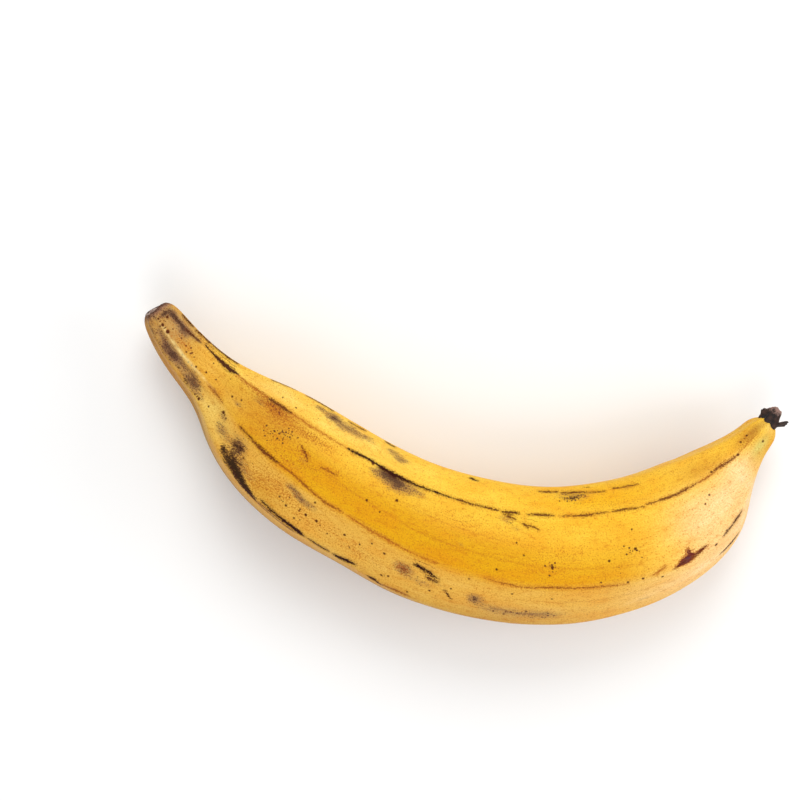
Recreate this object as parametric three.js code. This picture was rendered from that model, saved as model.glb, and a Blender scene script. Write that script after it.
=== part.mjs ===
// A ripe plantain, picked with its stem neck and the withered end of its flower, lying on its side.
// Millimetres, +Z up. The long way runs along X with the stem end at -X, and the hollow of the curve
// faces +Y. The origin is under the middle of the fruit, on the surface that it rests on.
// The fruit grew as one piece, so it is one solid: neck, six-ridged body, blunt tip and flower stub.
import * as THREE from "three";

// The fruit seen from above, from the cut of the stem to the end of the tip: where its middle line
// runs, half its width there, and how far its underside stands off the surface. The three stations
// with a negative lift are where the fruit rests, pressed a little flat by its own weight.
const STATIONS = [
  { x: -117.0, y: 37.0, halfWidth: 6.2, lift: 11.0 },
  { x: -113.2, y: 33.0, halfWidth: 7.4, lift: 10.5 },
  { x: -104.8, y: 24.0, halfWidth: 8.9, lift: 9.5 },
  { x: -93.0, y: 15.5, halfWidth: 10.0, lift: 8.0 },
  { x: -85.0, y: 9.5, halfWidth: 14.2, lift: 5.0 },
  { x: -75.0, y: 1.5, halfWidth: 20.0, lift: 1.6 },
  { x: -52.5, y: -11.0, halfWidth: 23.5, lift: -1.5 },
  { x: -30.5, y: -18.0, halfWidth: 22.5, lift: 1.2 },
  { x: -8.0, y: -25.5, halfWidth: 24.5, lift: -1.4 },
  { x: 24.0, y: -26.0, halfWidth: 23.7, lift: 1.2 },
  { x: 46.0, y: -21.5, halfWidth: 23.9, lift: -1.5 },
  { x: 69.0, y: -11.0, halfWidth: 22.1, lift: 1.6 },
  { x: 83.0, y: 3.0, halfWidth: 19.6, lift: 4.0 },
  { x: 88.3, y: 12.5, halfWidth: 13.7, lift: 7.0 },
  { x: 96.6, y: 25.4, halfWidth: 6.6, lift: 9.5 },
  { x: 102.2, y: 34.9, halfWidth: 5.4, lift: 10.5 },
];
const DEPTH_SHARE = 0.96; // the fruit's height over its width

// The six long ridges. Angles are in degrees round the fruit, 0 on the hollow side and 90 on top, at
// the stem end, the first shoulder, the middle, the second shoulder and the tip: the ridges turn with
// the fruit towards the tip. keel is how far the ridge stands out, as a share of the radius.
const RIDGES = [
  { angles: [35, 35, 14, 30, 52], keel: 0.02 },
  { angles: [48, 62, 48, 64, 93], keel: 0.032 },
  { angles: [98, 96, 98, 126, 157], keel: 0.018 },
  { angles: [126, 128, 134, 176, 204], keel: 0.03 },
  { angles: [205, 214, 218, 240, 262], keel: 0.022 },
  { angles: [285, 290, 294, 312, 334], keel: 0.02 },
];
const FACE_SHARPNESS = 9; // how tightly two neighbouring faces turn into each other
const FULL_HALF_WIDTH = 24; // where the fruit is this thick, its faces are fully swollen
const SWELL_FULL = 0.36; // share of a circle in the section of the full body
const SWELL_NECK = 0.1; // the same in the thin neck, where the faces stay flat
const FACE_HOLLOW = 0.055; // how far the faces of the neck sink between its ridges
const KEEL_WIDTH = THREE.MathUtils.degToRad(7);

// The cut end of the stem: a slanting cut that faces a little up, with a softened rim.
const CUT_SLANT = 0.26;
const CUT_SLANT_FADE = 5; // millimetres from the cut over which the slant dies out
const CUT_ROUNDING = 0.17; // share of the radius lost at the rim
const CUT_ROUNDING_LENGTH = 1.8;
const CUT_RINGS = [
  { size: 0.3, sink: 1.0 },
  { size: 0.62, sink: 0.9 },
  { size: 0.84, sink: 0.3 },
];

// The tip: the neck closes in a blunt dome round the foot of the flower stub.
const DOME_LENGTH = 6.5;
const DOME_SHRINK = 0.44; // share of the radius lost at the end of the dome

// The withered flower stub: a torn dry cup that flares outwards. Each ring has its distance from the
// dome, its radius, and how much the torn rim counts there. The rim stands highest at the tears.
const STUB_RINGS = [
  { out: 0.0, radius: 3.0, torn: 0 },
  { out: 0.9, radius: 3.0, torn: 0.1 },
  { out: 1.5, radius: 3.6, torn: 0.45 },
  { out: 1.9, radius: 3.9, torn: 0.85 },
  { out: 2.0, radius: 3.5, torn: 1 },
  { out: 1.4, radius: 2.3, torn: 0.45 },
  { out: 0.9, radius: 1.1, torn: 0 },
];
const STUB_TEARS = [
  { angle: 12, spread: 34, height: 1.6 },
  { angle: 78, spread: 34, height: 3.3 },
  { angle: 182, spread: 24, height: 2.6 },
  { angle: 295, spread: 30, height: 1.3 },
];
const STUB_FLARE = 0.07; // how much wider the stub gets for each millimetre of torn rim
const STUB_LOBES = 5;
const STUB_LOBE_DEPTH = 0.1;

const SIDES_PER_FACE = 6;
const RING_SPACING = 2.7;
const PEEL_COLOUR = 0xe3a92e;
const PEEL_ROUGHNESS = 0.5;

const lastStation = STATIONS.length - 1;

// A smooth run through evenly numbered values: a uniform cubic B-spline that starts on the first
// value and ends on the last, because the row is carried on in a straight line at both ends.
function blend(values, at) {
  const last = values.length - 1;
  const value = (i) => {
    if (i < 0) return values[0] + i * (values[1] - values[0]);
    if (i > last) return values[last] + (i - last) * (values[last] - values[last - 1]);
    return values[i];
  };
  const i = Math.min(Math.max(Math.floor(at), 0), last - 1);
  const u = at - i;
  const weights = [
    (1 - u) ** 3,
    3 * u ** 3 - 6 * u ** 2 + 4,
    -3 * u ** 3 + 3 * u ** 2 + 3 * u + 1,
    u ** 3,
  ];
  return weights.reduce((sum, weight, k) => sum + (weight / 6) * value(i + k - 1), 0);
}

function stationValue(key, at) {
  return blend(STATIONS.map((station) => station[key]), at);
}

// The direction of the middle line, seen from above.
function heading(at) {
  const step = 0.01;
  const dx = stationValue("x", at + step) - stationValue("x", at - step);
  const dy = stationValue("y", at + step) - stationValue("y", at - step);
  return new THREE.Vector2(dx, dy).normalize();
}

// The angles of the ridges at a station, in radians, with the first one repeated a turn later.
function ridgeAngles(at) {
  const share = (at / lastStation) * (RIDGES[0].angles.length - 1);
  const found = RIDGES.map((ridge) => THREE.MathUtils.degToRad(blend(ridge.angles, share)));
  return [...found, found[0] + 2 * Math.PI];
}

// The section at a station, as points in a box from -1 to 1 each way: a polygon with rounded corners
// (a soft minimum over its faces), swollen towards a circle where the fruit is thick, hollow between
// the ridges where it is thin, and with a low keel on each ridge.
function section(at, halfWidth) {
  const ridges = ridgeAngles(at);
  const fullness = THREE.MathUtils.clamp(halfWidth / FULL_HALF_WIDTH, 0, 1) ** 2;
  const swell = SWELL_NECK + (SWELL_FULL - SWELL_NECK) * fullness;
  const points = [];
  for (let face = 0; face < RIDGES.length; face++) {
    for (let j = 0; j < SIDES_PER_FACE; j++) {
      const share = j / SIDES_PER_FACE;
      const angle = ridges[face] + share * (ridges[face + 1] - ridges[face]);
      let nearness = 0;
      let keel = 0;
      for (let k = 0; k < RIDGES.length; k++) {
        const middle = (ridges[k] + ridges[k + 1]) / 2;
        const half = (ridges[k + 1] - ridges[k]) / 2;
        nearness += Math.max(0, Math.cos(angle - middle) / Math.cos(half)) ** FACE_SHARPNESS;
        const away = Math.atan2(Math.sin(angle - ridges[k]), Math.cos(angle - ridges[k]));
        keel += RIDGES[k].keel * Math.exp(-((away / KEEL_WIDTH) ** 2));
      }
      const polygon = nearness ** (-1 / FACE_SHARPNESS);
      const hollow = FACE_HOLLOW * (1 - fullness) * Math.sin(Math.PI * share) ** 2;
      const radius = polygon * (1 - swell) + swell + keel - hollow;
      points.push(new THREE.Vector2(radius * Math.cos(angle), radius * Math.sin(angle)));
    }
  }
  const box = new THREE.Box2().setFromPoints(points);
  const centre = box.getCenter(new THREE.Vector2());
  const half = box.getSize(new THREE.Vector2()).multiplyScalar(0.5);
  return points.map((point) => point.sub(centre).divide(half));
}

// One ring of points: the outline at a station, shrunk by size and moved outwards along the heading
// by out(point), a distance in millimetres. The surface that the fruit rests on flattens it.
function ring(at, size, out, outline) {
  const along = heading(at);
  const x = stationValue("x", at);
  const y = stationValue("y", at);
  const halfWidth = stationValue("halfWidth", at);
  const halfHeight = halfWidth * DEPTH_SHARE;
  const middle = halfHeight + stationValue("lift", at);
  return (outline ?? section(at, halfWidth)).map((point) => {
    const across = point.x * halfWidth * size;
    const up = point.y * halfHeight * size;
    const forward = out(point);
    return new THREE.Vector3(
      x - along.y * across + along.x * forward,
      y + along.x * across + along.y * forward,
      Math.max(middle + up, 0),
    );
  });
}

// The cut end of the stem, from its middle outwards.
function cutRings() {
  const halfHeight = STATIONS[0].halfWidth * DEPTH_SHARE;
  return CUT_RINGS.map(({ size, sink }) => {
    const shrunk = size * (1 - CUT_ROUNDING);
    return ring(0, shrunk, (point) => sink + CUT_SLANT * point.y * halfHeight * shrunk);
  });
}

// The fruit from the rim of the cut to the end of the dome.
function bodyRings() {
  const rings = [];
  let walked = 0;
  const place = (at) => new THREE.Vector2(stationValue("x", at), stationValue("y", at));
  const stationLength = (i) => place(i).distanceTo(place(i + 1));
  const total = STATIONS.slice(1).reduce((sum, _, i) => sum + stationLength(i), 0);
  for (let i = 0; i < lastStation; i++) {
    const length = stationLength(i);
    const steps = Math.max(2, Math.round(length / RING_SPACING)) + (i === 0 ? 2 : 0);
    for (let j = 0; j < steps; j++) {
      const at = i + j / steps;
      const fromCut = walked + (j / steps) * length;
      const fromTip = Math.max(0, 1 - (total - fromCut) / DOME_LENGTH);
      const rounding = CUT_ROUNDING * Math.exp(-fromCut / CUT_ROUNDING_LENGTH);
      const size = (1 - rounding) * (1 - DOME_SHRINK * fromTip ** 3);
      const slant = CUT_SLANT * Math.exp(-fromCut / CUT_SLANT_FADE);
      const halfHeight = stationValue("halfWidth", at) * DEPTH_SHARE * size;
      rings.push(ring(at, size, (point) => slant * point.y * halfHeight));
    }
    walked += length;
  }
  rings.push(ring(lastStation, 1 - DOME_SHRINK, () => 0));
  return rings;
}

// How far the torn rim of the stub stands up at an angle round it.
function tornRim(angle) {
  return STUB_TEARS.reduce((sum, tear) => {
    const turn = angle - THREE.MathUtils.degToRad(tear.angle);
    const away = Math.atan2(Math.sin(turn), Math.cos(turn));
    const spread = THREE.MathUtils.degToRad(tear.spread);
    return sum + tear.height * Math.exp(-((away / spread) ** 2));
  }, 0);
}

// The withered stub: a lobed round outline that widens towards its torn rim.
function stubRings() {
  const sides = SIDES_PER_FACE * RIDGES.length;
  const start = ridgeAngles(lastStation)[0];
  const angles = Array.from({ length: sides }, (_, j) => start + (j / sides) * 2 * Math.PI);
  return STUB_RINGS.map(({ out, radius, torn }) => {
    const outline = angles.map((angle) => {
      const lobe = 1 + STUB_LOBE_DEPTH * Math.cos(STUB_LOBES * angle);
      const wide = lobe * (1 + STUB_FLARE * torn * tornRim(angle));
      return new THREE.Vector2(wide * Math.cos(angle), (wide * Math.sin(angle)) / DEPTH_SHARE);
    });
    const size = radius / STATIONS[lastStation].halfWidth;
    const height = (point) => out + torn * tornRim(Math.atan2(point.y * DEPTH_SHARE, point.x));
    return ring(lastStation, size, height, outline);
  });
}

// Closes a row of rings into one body: quads between neighbouring rings and a fan at each end.
function loft(rings) {
  const sides = rings[0].length;
  const centre = (points) =>
    points.reduce((sum, point) => sum.add(point), new THREE.Vector3()).divideScalar(points.length);
  const first = centre(rings[0]);
  const last = centre(rings[rings.length - 1]);
  const points = [...rings.flat(), first, last];
  const firstIndex = rings.length * sides;
  const lastIndex = firstIndex + 1;
  const index = [];
  for (let j = 0; j < sides; j++) {
    const next = (j + 1) % sides;
    index.push(firstIndex, next, j);
    for (let i = 0; i < rings.length - 1; i++) {
      const here = i * sides;
      const beyond = here + sides;
      index.push(here + j, here + next, beyond + next);
      index.push(here + j, beyond + next, beyond + j);
    }
    const end = (rings.length - 1) * sides;
    index.push(lastIndex, end + j, end + next);
  }
  const geometry = new THREE.BufferGeometry().setFromPoints(points);
  geometry.setIndex(index);
  return geometry;
}

// The finished fruit, moved so that the origin is under the middle of its box.
function plantainGeometry() {
  const geometry = loft([...cutRings(), ...bodyRings(), ...stubRings()]);
  geometry.computeBoundingBox();
  const middle = geometry.boundingBox.getCenter(new THREE.Vector3());
  geometry.translate(-middle.x, -middle.y, -geometry.boundingBox.min.z);
  geometry.computeVertexNormals();
  return geometry;
}

const peel = new THREE.MeshStandardMaterial({
  color: PEEL_COLOUR,
  roughness: PEEL_ROUGHNESS,
  metalness: 0,
});
const plantain = new THREE.Mesh(plantainGeometry(), peel);
plantain.name = "plantain";

const group = new THREE.Group();
group.add(plantain);

export default group;
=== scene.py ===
"""A ripe plantain lying on its side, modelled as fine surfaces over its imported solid.

The fruit is two pieces: the peel, which runs from the cut of the stem to the dome of the tip, and the
withered flower stub on the dome. All lengths in the classes are millimetres unless a name says
otherwise, and the meshes are written in metres, in the part's own frame. A place on the peel is given
by its share of the middle line, 0 at the cut and 1 at the tip, and by its ridge number, 0 to 6 round
the fruit, so that 2.5 is halfway between ridges 2 and 3.
"""

import logging
import math
from dataclasses import dataclass, field
from enum import Enum

import bpy
import numpy as np
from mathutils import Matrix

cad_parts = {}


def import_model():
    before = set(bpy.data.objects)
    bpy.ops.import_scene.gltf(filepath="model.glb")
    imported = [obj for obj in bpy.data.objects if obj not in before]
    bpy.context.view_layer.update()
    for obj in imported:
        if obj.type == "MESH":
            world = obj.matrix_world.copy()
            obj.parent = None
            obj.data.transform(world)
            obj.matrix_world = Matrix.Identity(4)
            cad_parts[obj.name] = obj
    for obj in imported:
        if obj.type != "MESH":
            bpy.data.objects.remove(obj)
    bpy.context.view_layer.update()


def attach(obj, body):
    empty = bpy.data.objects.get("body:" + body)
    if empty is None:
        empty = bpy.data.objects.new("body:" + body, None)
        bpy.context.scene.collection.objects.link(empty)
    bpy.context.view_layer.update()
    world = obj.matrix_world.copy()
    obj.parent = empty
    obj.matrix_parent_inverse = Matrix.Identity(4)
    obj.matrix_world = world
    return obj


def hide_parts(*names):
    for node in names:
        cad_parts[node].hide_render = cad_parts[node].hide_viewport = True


logging.basicConfig(level=logging.INFO, format="%(message)s")
log = logging.getLogger("plantain")

MM = 0.001
RIDGES = 6
LATTICE = 32
Rgb = tuple[float, float, float]
Array = np.ndarray
# a soft oval mark: share, ridge, length and width in millimetres, strength
Blot = tuple[float, float, float, float, float]


def linear(rgb: Rgb) -> Rgb:
    """Turns a display colour of 0 to 255 into linear light.

    Args:
        rgb: red, green and blue as a screen shows them.

    Returns:
        The same colour in linear light, 0 to 1.
    """
    def one(value: float) -> float:
        """One channel of the sRGB curve."""
        v = value / 255.0
        return v / 12.92 if v <= 0.04045 else ((v + 0.055) / 1.055) ** 2.4
    return (one(rgb[0]), one(rgb[1]), one(rgb[2]))


def blend(rows: Array, at: Array) -> Array:
    """Smooth run through evenly numbered rows.

    A uniform cubic B-spline: each value is the rows around it weighted by the four cubic blending
    polynomials. The rows are carried on in a straight line at both ends, so it starts and ends on
    the first and the last row.

    Args:
        rows: the values, one row for each whole number.
        at: where to read, from 0 to the number of the last row.

    Returns:
        The blended values, one row for each entry of at.
    """
    rows = np.asarray(rows, float)
    last, step = rows[-1], rows[-1] - rows[-2]
    ext = np.concatenate([[2 * rows[0] - rows[1]], rows, [last + step], [last + 2 * step]])
    i = np.clip(np.floor(at).astype(int), 0, len(rows) - 2)
    u = at - i
    if rows.ndim > 1:
        u = u[..., None]
    w = ((1 - u) ** 3, 3 * u**3 - 6 * u**2 + 4, -3 * u**3 + 3 * u**2 + 3 * u + 1, u**3)
    return sum(wk * ext[i + k] for k, wk in enumerate(w)) / 6


def lattice_noise(points: Array, seed: int) -> Array:
    """Smooth random field, about -1 to 1.

    Random values sit on a whole-number lattice that repeats after LATTICE steps, and each point takes the
    smoothstep-weighted mean of the eight corners of its cell.

    Args:
        points: coordinates, the last axis holding three numbers.
        seed: which field.

    Returns:
        One value for each point.
    """
    table = np.random.default_rng(seed).uniform(-1, 1, (LATTICE, LATTICE, LATTICE))
    base = np.floor(points).astype(int)
    f = points - base
    f = f * f * (3 - 2 * f)
    total = np.zeros(points.shape[:-1])
    for corner in range(8):
        step = np.array([corner & 1, corner >> 1 & 1, corner >> 2 & 1])
        i, j, k = np.moveaxis((base + step) % LATTICE, -1, 0)
        total += np.where(step, f, 1 - f).prod(-1) * table[i, j, k]
    return total


def bell(distance: Array, spread: Array | float) -> Array:
    """Gaussian fall-off: e to the minus square of distance over spread."""
    return np.exp(-((distance / spread) ** 2))


def inset(values: Array) -> Array:
    """Map values drawn in a little from the edges of the unit square."""
    return 0.01 + 0.98 * values


class Kind(Enum):
    """What a soft mark on the peel is made of."""

    HAZE = "haze"
    BRUISE = "bruise"
    FLECKS = "flecks"
    RUST = "rust"
    # a painted highlight along a ridge
    PALE = "pale"


@dataclass(frozen=True)
class Stroke:
    """A crisp lengthwise line through (share, ridge, half width) points. Tone 0 is rusty, 1 inky."""

    tone: float
    points: tuple[tuple[float, float, float], ...]


class Tone(Enum):
    """The ground colours of ripe plantain peel, as a screen shows them; the cream is partly a painted sheen
    and the brown a painted shade.
    """

    TAN = (188, 148, 88)
    AMBER = (206, 146, 36)
    ROSY = (244, 186, 164)
    DULL_GOLD = (228, 176, 72)
    DEEP_GOLD = (217, 157, 2)
    GOLD = (240, 190, 54)
    WARM_GOLD = (240, 180, 12)
    LIGHT_GOLD = (251, 201, 62)
    STRAW = (243, 204, 100)
    # partly a painted sheen on the second shoulder
    CREAM_AND_SHEEN = (252, 215, 155)
    BRONZE = (184, 129, 38)
    GREENISH = (208, 192, 102)
    # painted shade along the lower edge
    BROWN = (140, 94, 30)


@dataclass(frozen=True)
class Wash:
    """A patch of another peel colour with a soft edge, in shares of the length and in ridges."""

    tone: Tone
    share: float
    ridge: float
    share_spread: float
    ridge_spread: float
    strength: float


@dataclass(frozen=True)
class FruitForm:
    """The shape of the fruit: stations seen from above, ridges round it, cut end and dome."""

    # x, y, half width and lift of the underside, in millimetres
    stations: tuple[tuple[float, float, float, float], ...] = (
        (-117.0, 37.0, 6.2, 11.0),
        (-113.2, 33.0, 7.4, 10.5),
        (-104.8, 24.0, 8.9, 9.5),
        (-93.0, 15.5, 10.0, 8.0),
        (-85.0, 9.5, 14.2, 5.0),
        (-75.0, 1.5, 20.0, 1.6),
        (-52.5, -11.0, 23.5, -1.5),
        (-30.5, -18.0, 22.5, 1.2),
        (-8.0, -25.5, 24.5, -1.4),
        (24.0, -26.0, 23.7, 1.2),
        (46.0, -21.5, 23.9, -1.5),
        (69.0, -11.0, 22.1, 1.6),
        (83.0, 3.0, 19.6, 4.0),
        (88.3, 12.5, 13.7, 7.0),
        (96.6, 25.4, 6.6, 9.5),
        (102.2, 34.9, 5.4, 10.5),
    )
    # the angle of each ridge at the stem, the first shoulder, the middle, the second shoulder, the tip
    ridges: tuple[tuple[float, ...], ...] = (
        (35, 35, 14, 30, 52),
        (48, 62, 48, 64, 93),
        (98, 96, 98, 126, 157),
        (126, 128, 134, 176, 204),
        (205, 214, 218, 240, 262),
        (285, 290, 294, 312, 334),
    )
    keels: tuple[float, ...] = (0.02, 0.032, 0.018, 0.03, 0.022, 0.02)
    # the point of the stations' plan that is the frame's origin
    middle: tuple[float, float] = (-6.671, -4.695)
    # the section: height over width, how sharp its faces meet, how far it swells to a circle where the
    # fruit is full and in the neck, and how hollow its faces are
    depth_share: float = 0.96
    face_sharpness: float = 9.0
    full_half_width: float = 24.0
    swell_full: float = 0.36
    swell_neck: float = 0.1
    face_hollow: float = 0.055
    keel_width: float = math.radians(7)
    # the cut: its slant, the bulge of its corners and its rounded lip, each fading along the neck
    cut_slant: float = 0.26
    cut_slant_fade: float = 5.0
    cut_bulge: float = 0.85
    cut_bulge_fade: float = 1.8
    cut_rounding: float = 0.21
    cut_rounding_length: float = 2.3
    dome_length: float = 6.5
    dome_shrink: float = 0.44

    def place(self, at: Array) -> Array:
        """The blended x, y, half width and lift at each station number."""
        return blend(np.array(self.stations), at)

    def heading(self, at: Array) -> Array:
        """Unit direction of the middle line in plan: the difference of two places close together."""
        step = self.place(at + 0.01)[..., :2] - self.place(at - 0.01)[..., :2]
        return step / np.linalg.norm(step, axis=-1, keepdims=True)

    def walk(self, count: int = 6000) -> tuple[Array, Array]:
        """Measures the middle line in fine steps.

        Args:
            count: how many places it is measured at.

        Returns:
            Their station numbers, and the distance walked along the line to each.
        """
        at = np.linspace(0, len(self.stations) - 1, count)
        xy = self.place(at)[:, :2]
        steps = np.linalg.norm(np.diff(xy, axis=0), axis=1)
        return at, np.concatenate([[0.0], np.cumsum(steps)])

    def ridge_angles(self, at: Array) -> Array:
        """Where the ridges stand round the fruit.

        Args:
            at: station numbers.

        Returns:
            Their angles in radians at each station number, the first repeated a turn later.
        """
        share = at / (len(self.stations) - 1) * (len(self.ridges[0]) - 1)
        found = np.radians(blend(np.array(self.ridges, float).T, share))
        return np.concatenate([found, found[:, :1] + math.tau], 1)

    def section(self, at: Array, half_width: Array, ridge: Array) -> tuple[Array, Array]:
        """The outline of the fruit at each station, in a box from -1 to 1.

        A polygon with a face between each two ridges, its corners rounded by a soft minimum: the
        radius is the sum of the powers of each face's nearness, to the power minus one over the
        sharpness. It is swollen towards a circle where the fruit is thick, its faces are hollow
        where it is thin, and each ridge carries a low keel.

        Args:
            at: station numbers, one for each ring.
            half_width: the half width there.
            ridge: where round the fruit each column is, in ridges from 0 to 6.

        Returns:
            The two coordinates of every ring and column.
        """
        turns = self.ridge_angles(at)
        k = np.minimum(np.floor(ridge).astype(int), RIDGES - 1)
        share = ridge - k
        angle = turns[:, k] + share * (turns[:, k + 1] - turns[:, k])
        middle, half = (turns[:, :-1] + turns[:, 1:]) / 2, (turns[:, 1:] - turns[:, :-1]) / 2
        near = np.zeros_like(angle)
        keel = np.zeros_like(angle)
        for face in range(RIDGES):
            cosine = np.cos(angle - middle[:, face, None]) / np.cos(half[:, face, None])
            near += np.maximum(0, cosine) ** self.face_sharpness
            away = angle - turns[:, face, None]
            away = np.arctan2(np.sin(away), np.cos(away))
            keel += self.keels[face] * bell(away, self.keel_width)
        full = np.clip(half_width / self.full_half_width, 0, 1)[:, None] ** 2
        swell = self.swell_neck + (self.swell_full - self.swell_neck) * full
        hollow = self.face_hollow * (1 - full) * np.sin(math.pi * share) ** 2
        radius = near ** (-1 / self.face_sharpness) * (1 - swell) + swell + keel - hollow

        def boxed(values: Array) -> Array:
            """Each ring's values spread from -1 to 1."""
            return 2 * (values - values.min(1, keepdims=True)) / np.ptp(values, axis=1)[:, None] - 1
        return boxed(radius * np.cos(angle)), boxed(radius * np.sin(angle))


class SurfaceGrid:
    """Writes closed grids of points, with their maps and attributes, into Blender meshes."""

    def __init__(self, name: str) -> None:
        """Starts an empty mesh with this name."""
        self.name = name
        self.mesh = bpy.data.meshes.new(name)

    def tube(self, rings: Array, first: Array, last: Array) -> None:
        """Makes a closed body: quads between neighbouring rings, and a fan at each end.

        Args:
            rings: points in millimetres, ring by column.
            first: the point that closes the first ring.
            last: the point that closes the last ring.
        """
        count, sides = rings.shape[:2]
        points = np.concatenate([rings.reshape(-1, 3), [first], [last]]) * MM
        ring, column = np.meshgrid(np.arange(count - 1), np.arange(sides), indexing="ij")
        here = (ring * sides + column).ravel()
        beside = (ring * sides + (column + 1) % sides).ravel()
        quads = np.stack([here, beside, beside + sides, here + sides], 1)
        c = np.arange(sides)
        after = (c + 1) % sides
        start = np.stack([np.full(sides, count * sides), after, c], 1)
        end_ring = (count - 1) * sides
        end = np.stack([np.full(sides, count * sides + 1), end_ring + c, end_ring + after], 1)
        loops = np.concatenate([quads.ravel(), start.ravel(), end.ravel()])
        sizes = np.concatenate([np.full(len(quads), 4), np.full(2 * sides, 3)])
        mesh = self.mesh
        mesh.vertices.add(len(points))
        mesh.vertices.foreach_set("co", points.ravel())
        mesh.loops.add(len(loops))
        mesh.loops.foreach_set("vertex_index", loops.astype(np.int32))
        mesh.polygons.add(len(sizes))
        starts = np.concatenate([[0], np.cumsum(sizes)[:-1]])
        mesh.polygons.foreach_set("loop_start", starts.astype(np.int32))
        mesh.polygons.foreach_set("loop_total", sizes.astype(np.int32))
        mesh.update(calc_edges=True)
        mesh.polygons.foreach_set("use_smooth", np.ones(len(sizes), bool))
        self.count, self.sides = count, sides

    def map_uv(self, name: str, u: Array, v: Array, end_u: tuple[float, float]) -> None:
        """Adds a map from values on the rings. The last column lies on the first, on the seam's other side.

        Args:
            name: the map's name.
            u: ring by column, one column more than the mesh has.
            v: the same for the other direction.
            end_u: the u of the two points that close the ends. Their v is halfway along each ring edge.
        """
        k = np.arange(self.sides)
        ring, column = np.meshgrid(np.arange(self.count - 1), k, indexing="ij")
        r, c = ring.ravel(), column.ravel()

        def at(rings: Array | int, columns: Array) -> Array:
            """The map at these rings and columns."""
            return np.stack([u[rings, columns], v[rings, columns]], -1)

        def closing(end: int) -> Array:
            """The map at the closing point of an end, once for each triangle of its fan."""
            return np.stack([np.full(self.sides, end_u[end]), (v[end, k] + v[end, k + 1]) / 2], -1)

        quads = np.stack([at(r, c), at(r, c + 1), at(r + 1, c + 1), at(r + 1, c)], 1)
        first = np.stack([closing(0), at(0, k + 1), at(0, k)], 1)
        last = np.stack([closing(-1), at(-1, k), at(-1, k + 1)], 1)
        uv = np.concatenate([part.reshape(-1, 2) for part in (quads, first, last)])
        self.mesh.uv_layers.new(name=name).data.foreach_set("uv", uv.astype(np.float32).ravel())

    def point_values(self, values: Array) -> Array:
        """Ring values one after another, then the means of the end rings for the two closing points."""
        ends = [values[0].mean(0, keepdims=True), values[-1].mean(0, keepdims=True)]
        return np.concatenate([values.reshape((-1,) + values.shape[2:])] + ends).astype(np.float32)

    def attribute(self, name: str, values: Array) -> None:
        """Adds a number or a vector to each point.

        Args:
            name: the attribute's name.
            values: ring by column, or ring by column by three.
        """
        kind, slot = ("FLOAT_VECTOR", "vector") if values.ndim == 3 else ("FLOAT", "value")
        made = self.mesh.attributes.new(name, kind, "POINT")
        made.data.foreach_set(slot, self.point_values(values).ravel())

    def paint(self, name: str, colours: Array) -> None:
        """Adds a colour to each point.

        Args:
            name: the attribute's name.
            colours: linear colours, ring by column by three.
        """
        flat = self.point_values(colours)
        flat = np.concatenate([flat, np.ones((len(flat), 1), np.float32)], 1)
        self.mesh.color_attributes.new(name, "FLOAT_COLOR", "POINT").data.foreach_set("color", flat.ravel())

    def piece(self, materials: list[bpy.types.Material], finish: Array | None = None) -> bpy.types.Object:
        """Makes the object at the origin.

        Args:
            materials: its materials in order.
            finish: the material number of each ring of quads, if there is more than one.

        Returns:
            The new object, linked to the scene.
        """
        for material in materials:
            self.mesh.materials.append(material)
        if finish is not None:
            # one number for each quad, then one for each triangle of the two fans
            numbers = np.repeat(np.append(finish, finish[[0, -1]]), self.sides)
            self.mesh.polygons.foreach_set("material_index", numbers.astype(np.int32))
        self.mesh.validate()
        made = bpy.data.objects.new(self.name, self.mesh)
        bpy.context.scene.collection.objects.link(made)
        return made


@dataclass(frozen=True)
class Coat:
    """A colour laid over what is below, as a screen shows it, and how much of that it covers."""

    rgb: Rgb
    cover: float = 1.0


@dataclass(frozen=True)
class Value:
    """An output of a shader node, to be added to and multiplied by numbers and other outputs."""

    sheet: "NodeSheet"
    socket: bpy.types.NodeSocket

    def __add__(self, other: "Value | float") -> "Value":
        """This plus the other."""
        return self.sheet.math("ADD", self, other)

    def __radd__(self, other: float) -> "Value":
        """A number plus this."""
        return self.sheet.math("ADD", other, self)

    def __sub__(self, other: "Value | float") -> "Value":
        """This less the other."""
        return self.sheet.math("SUBTRACT", self, other)

    def __mul__(self, other: "Value | float") -> "Value":
        """This times the other."""
        return self.sheet.math("MULTIPLY", self, other)

    def __abs__(self) -> "Value":
        """This without its sign."""
        return self.sheet.math("ABSOLUTE", self)


Input = Value | float | Rgb


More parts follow.
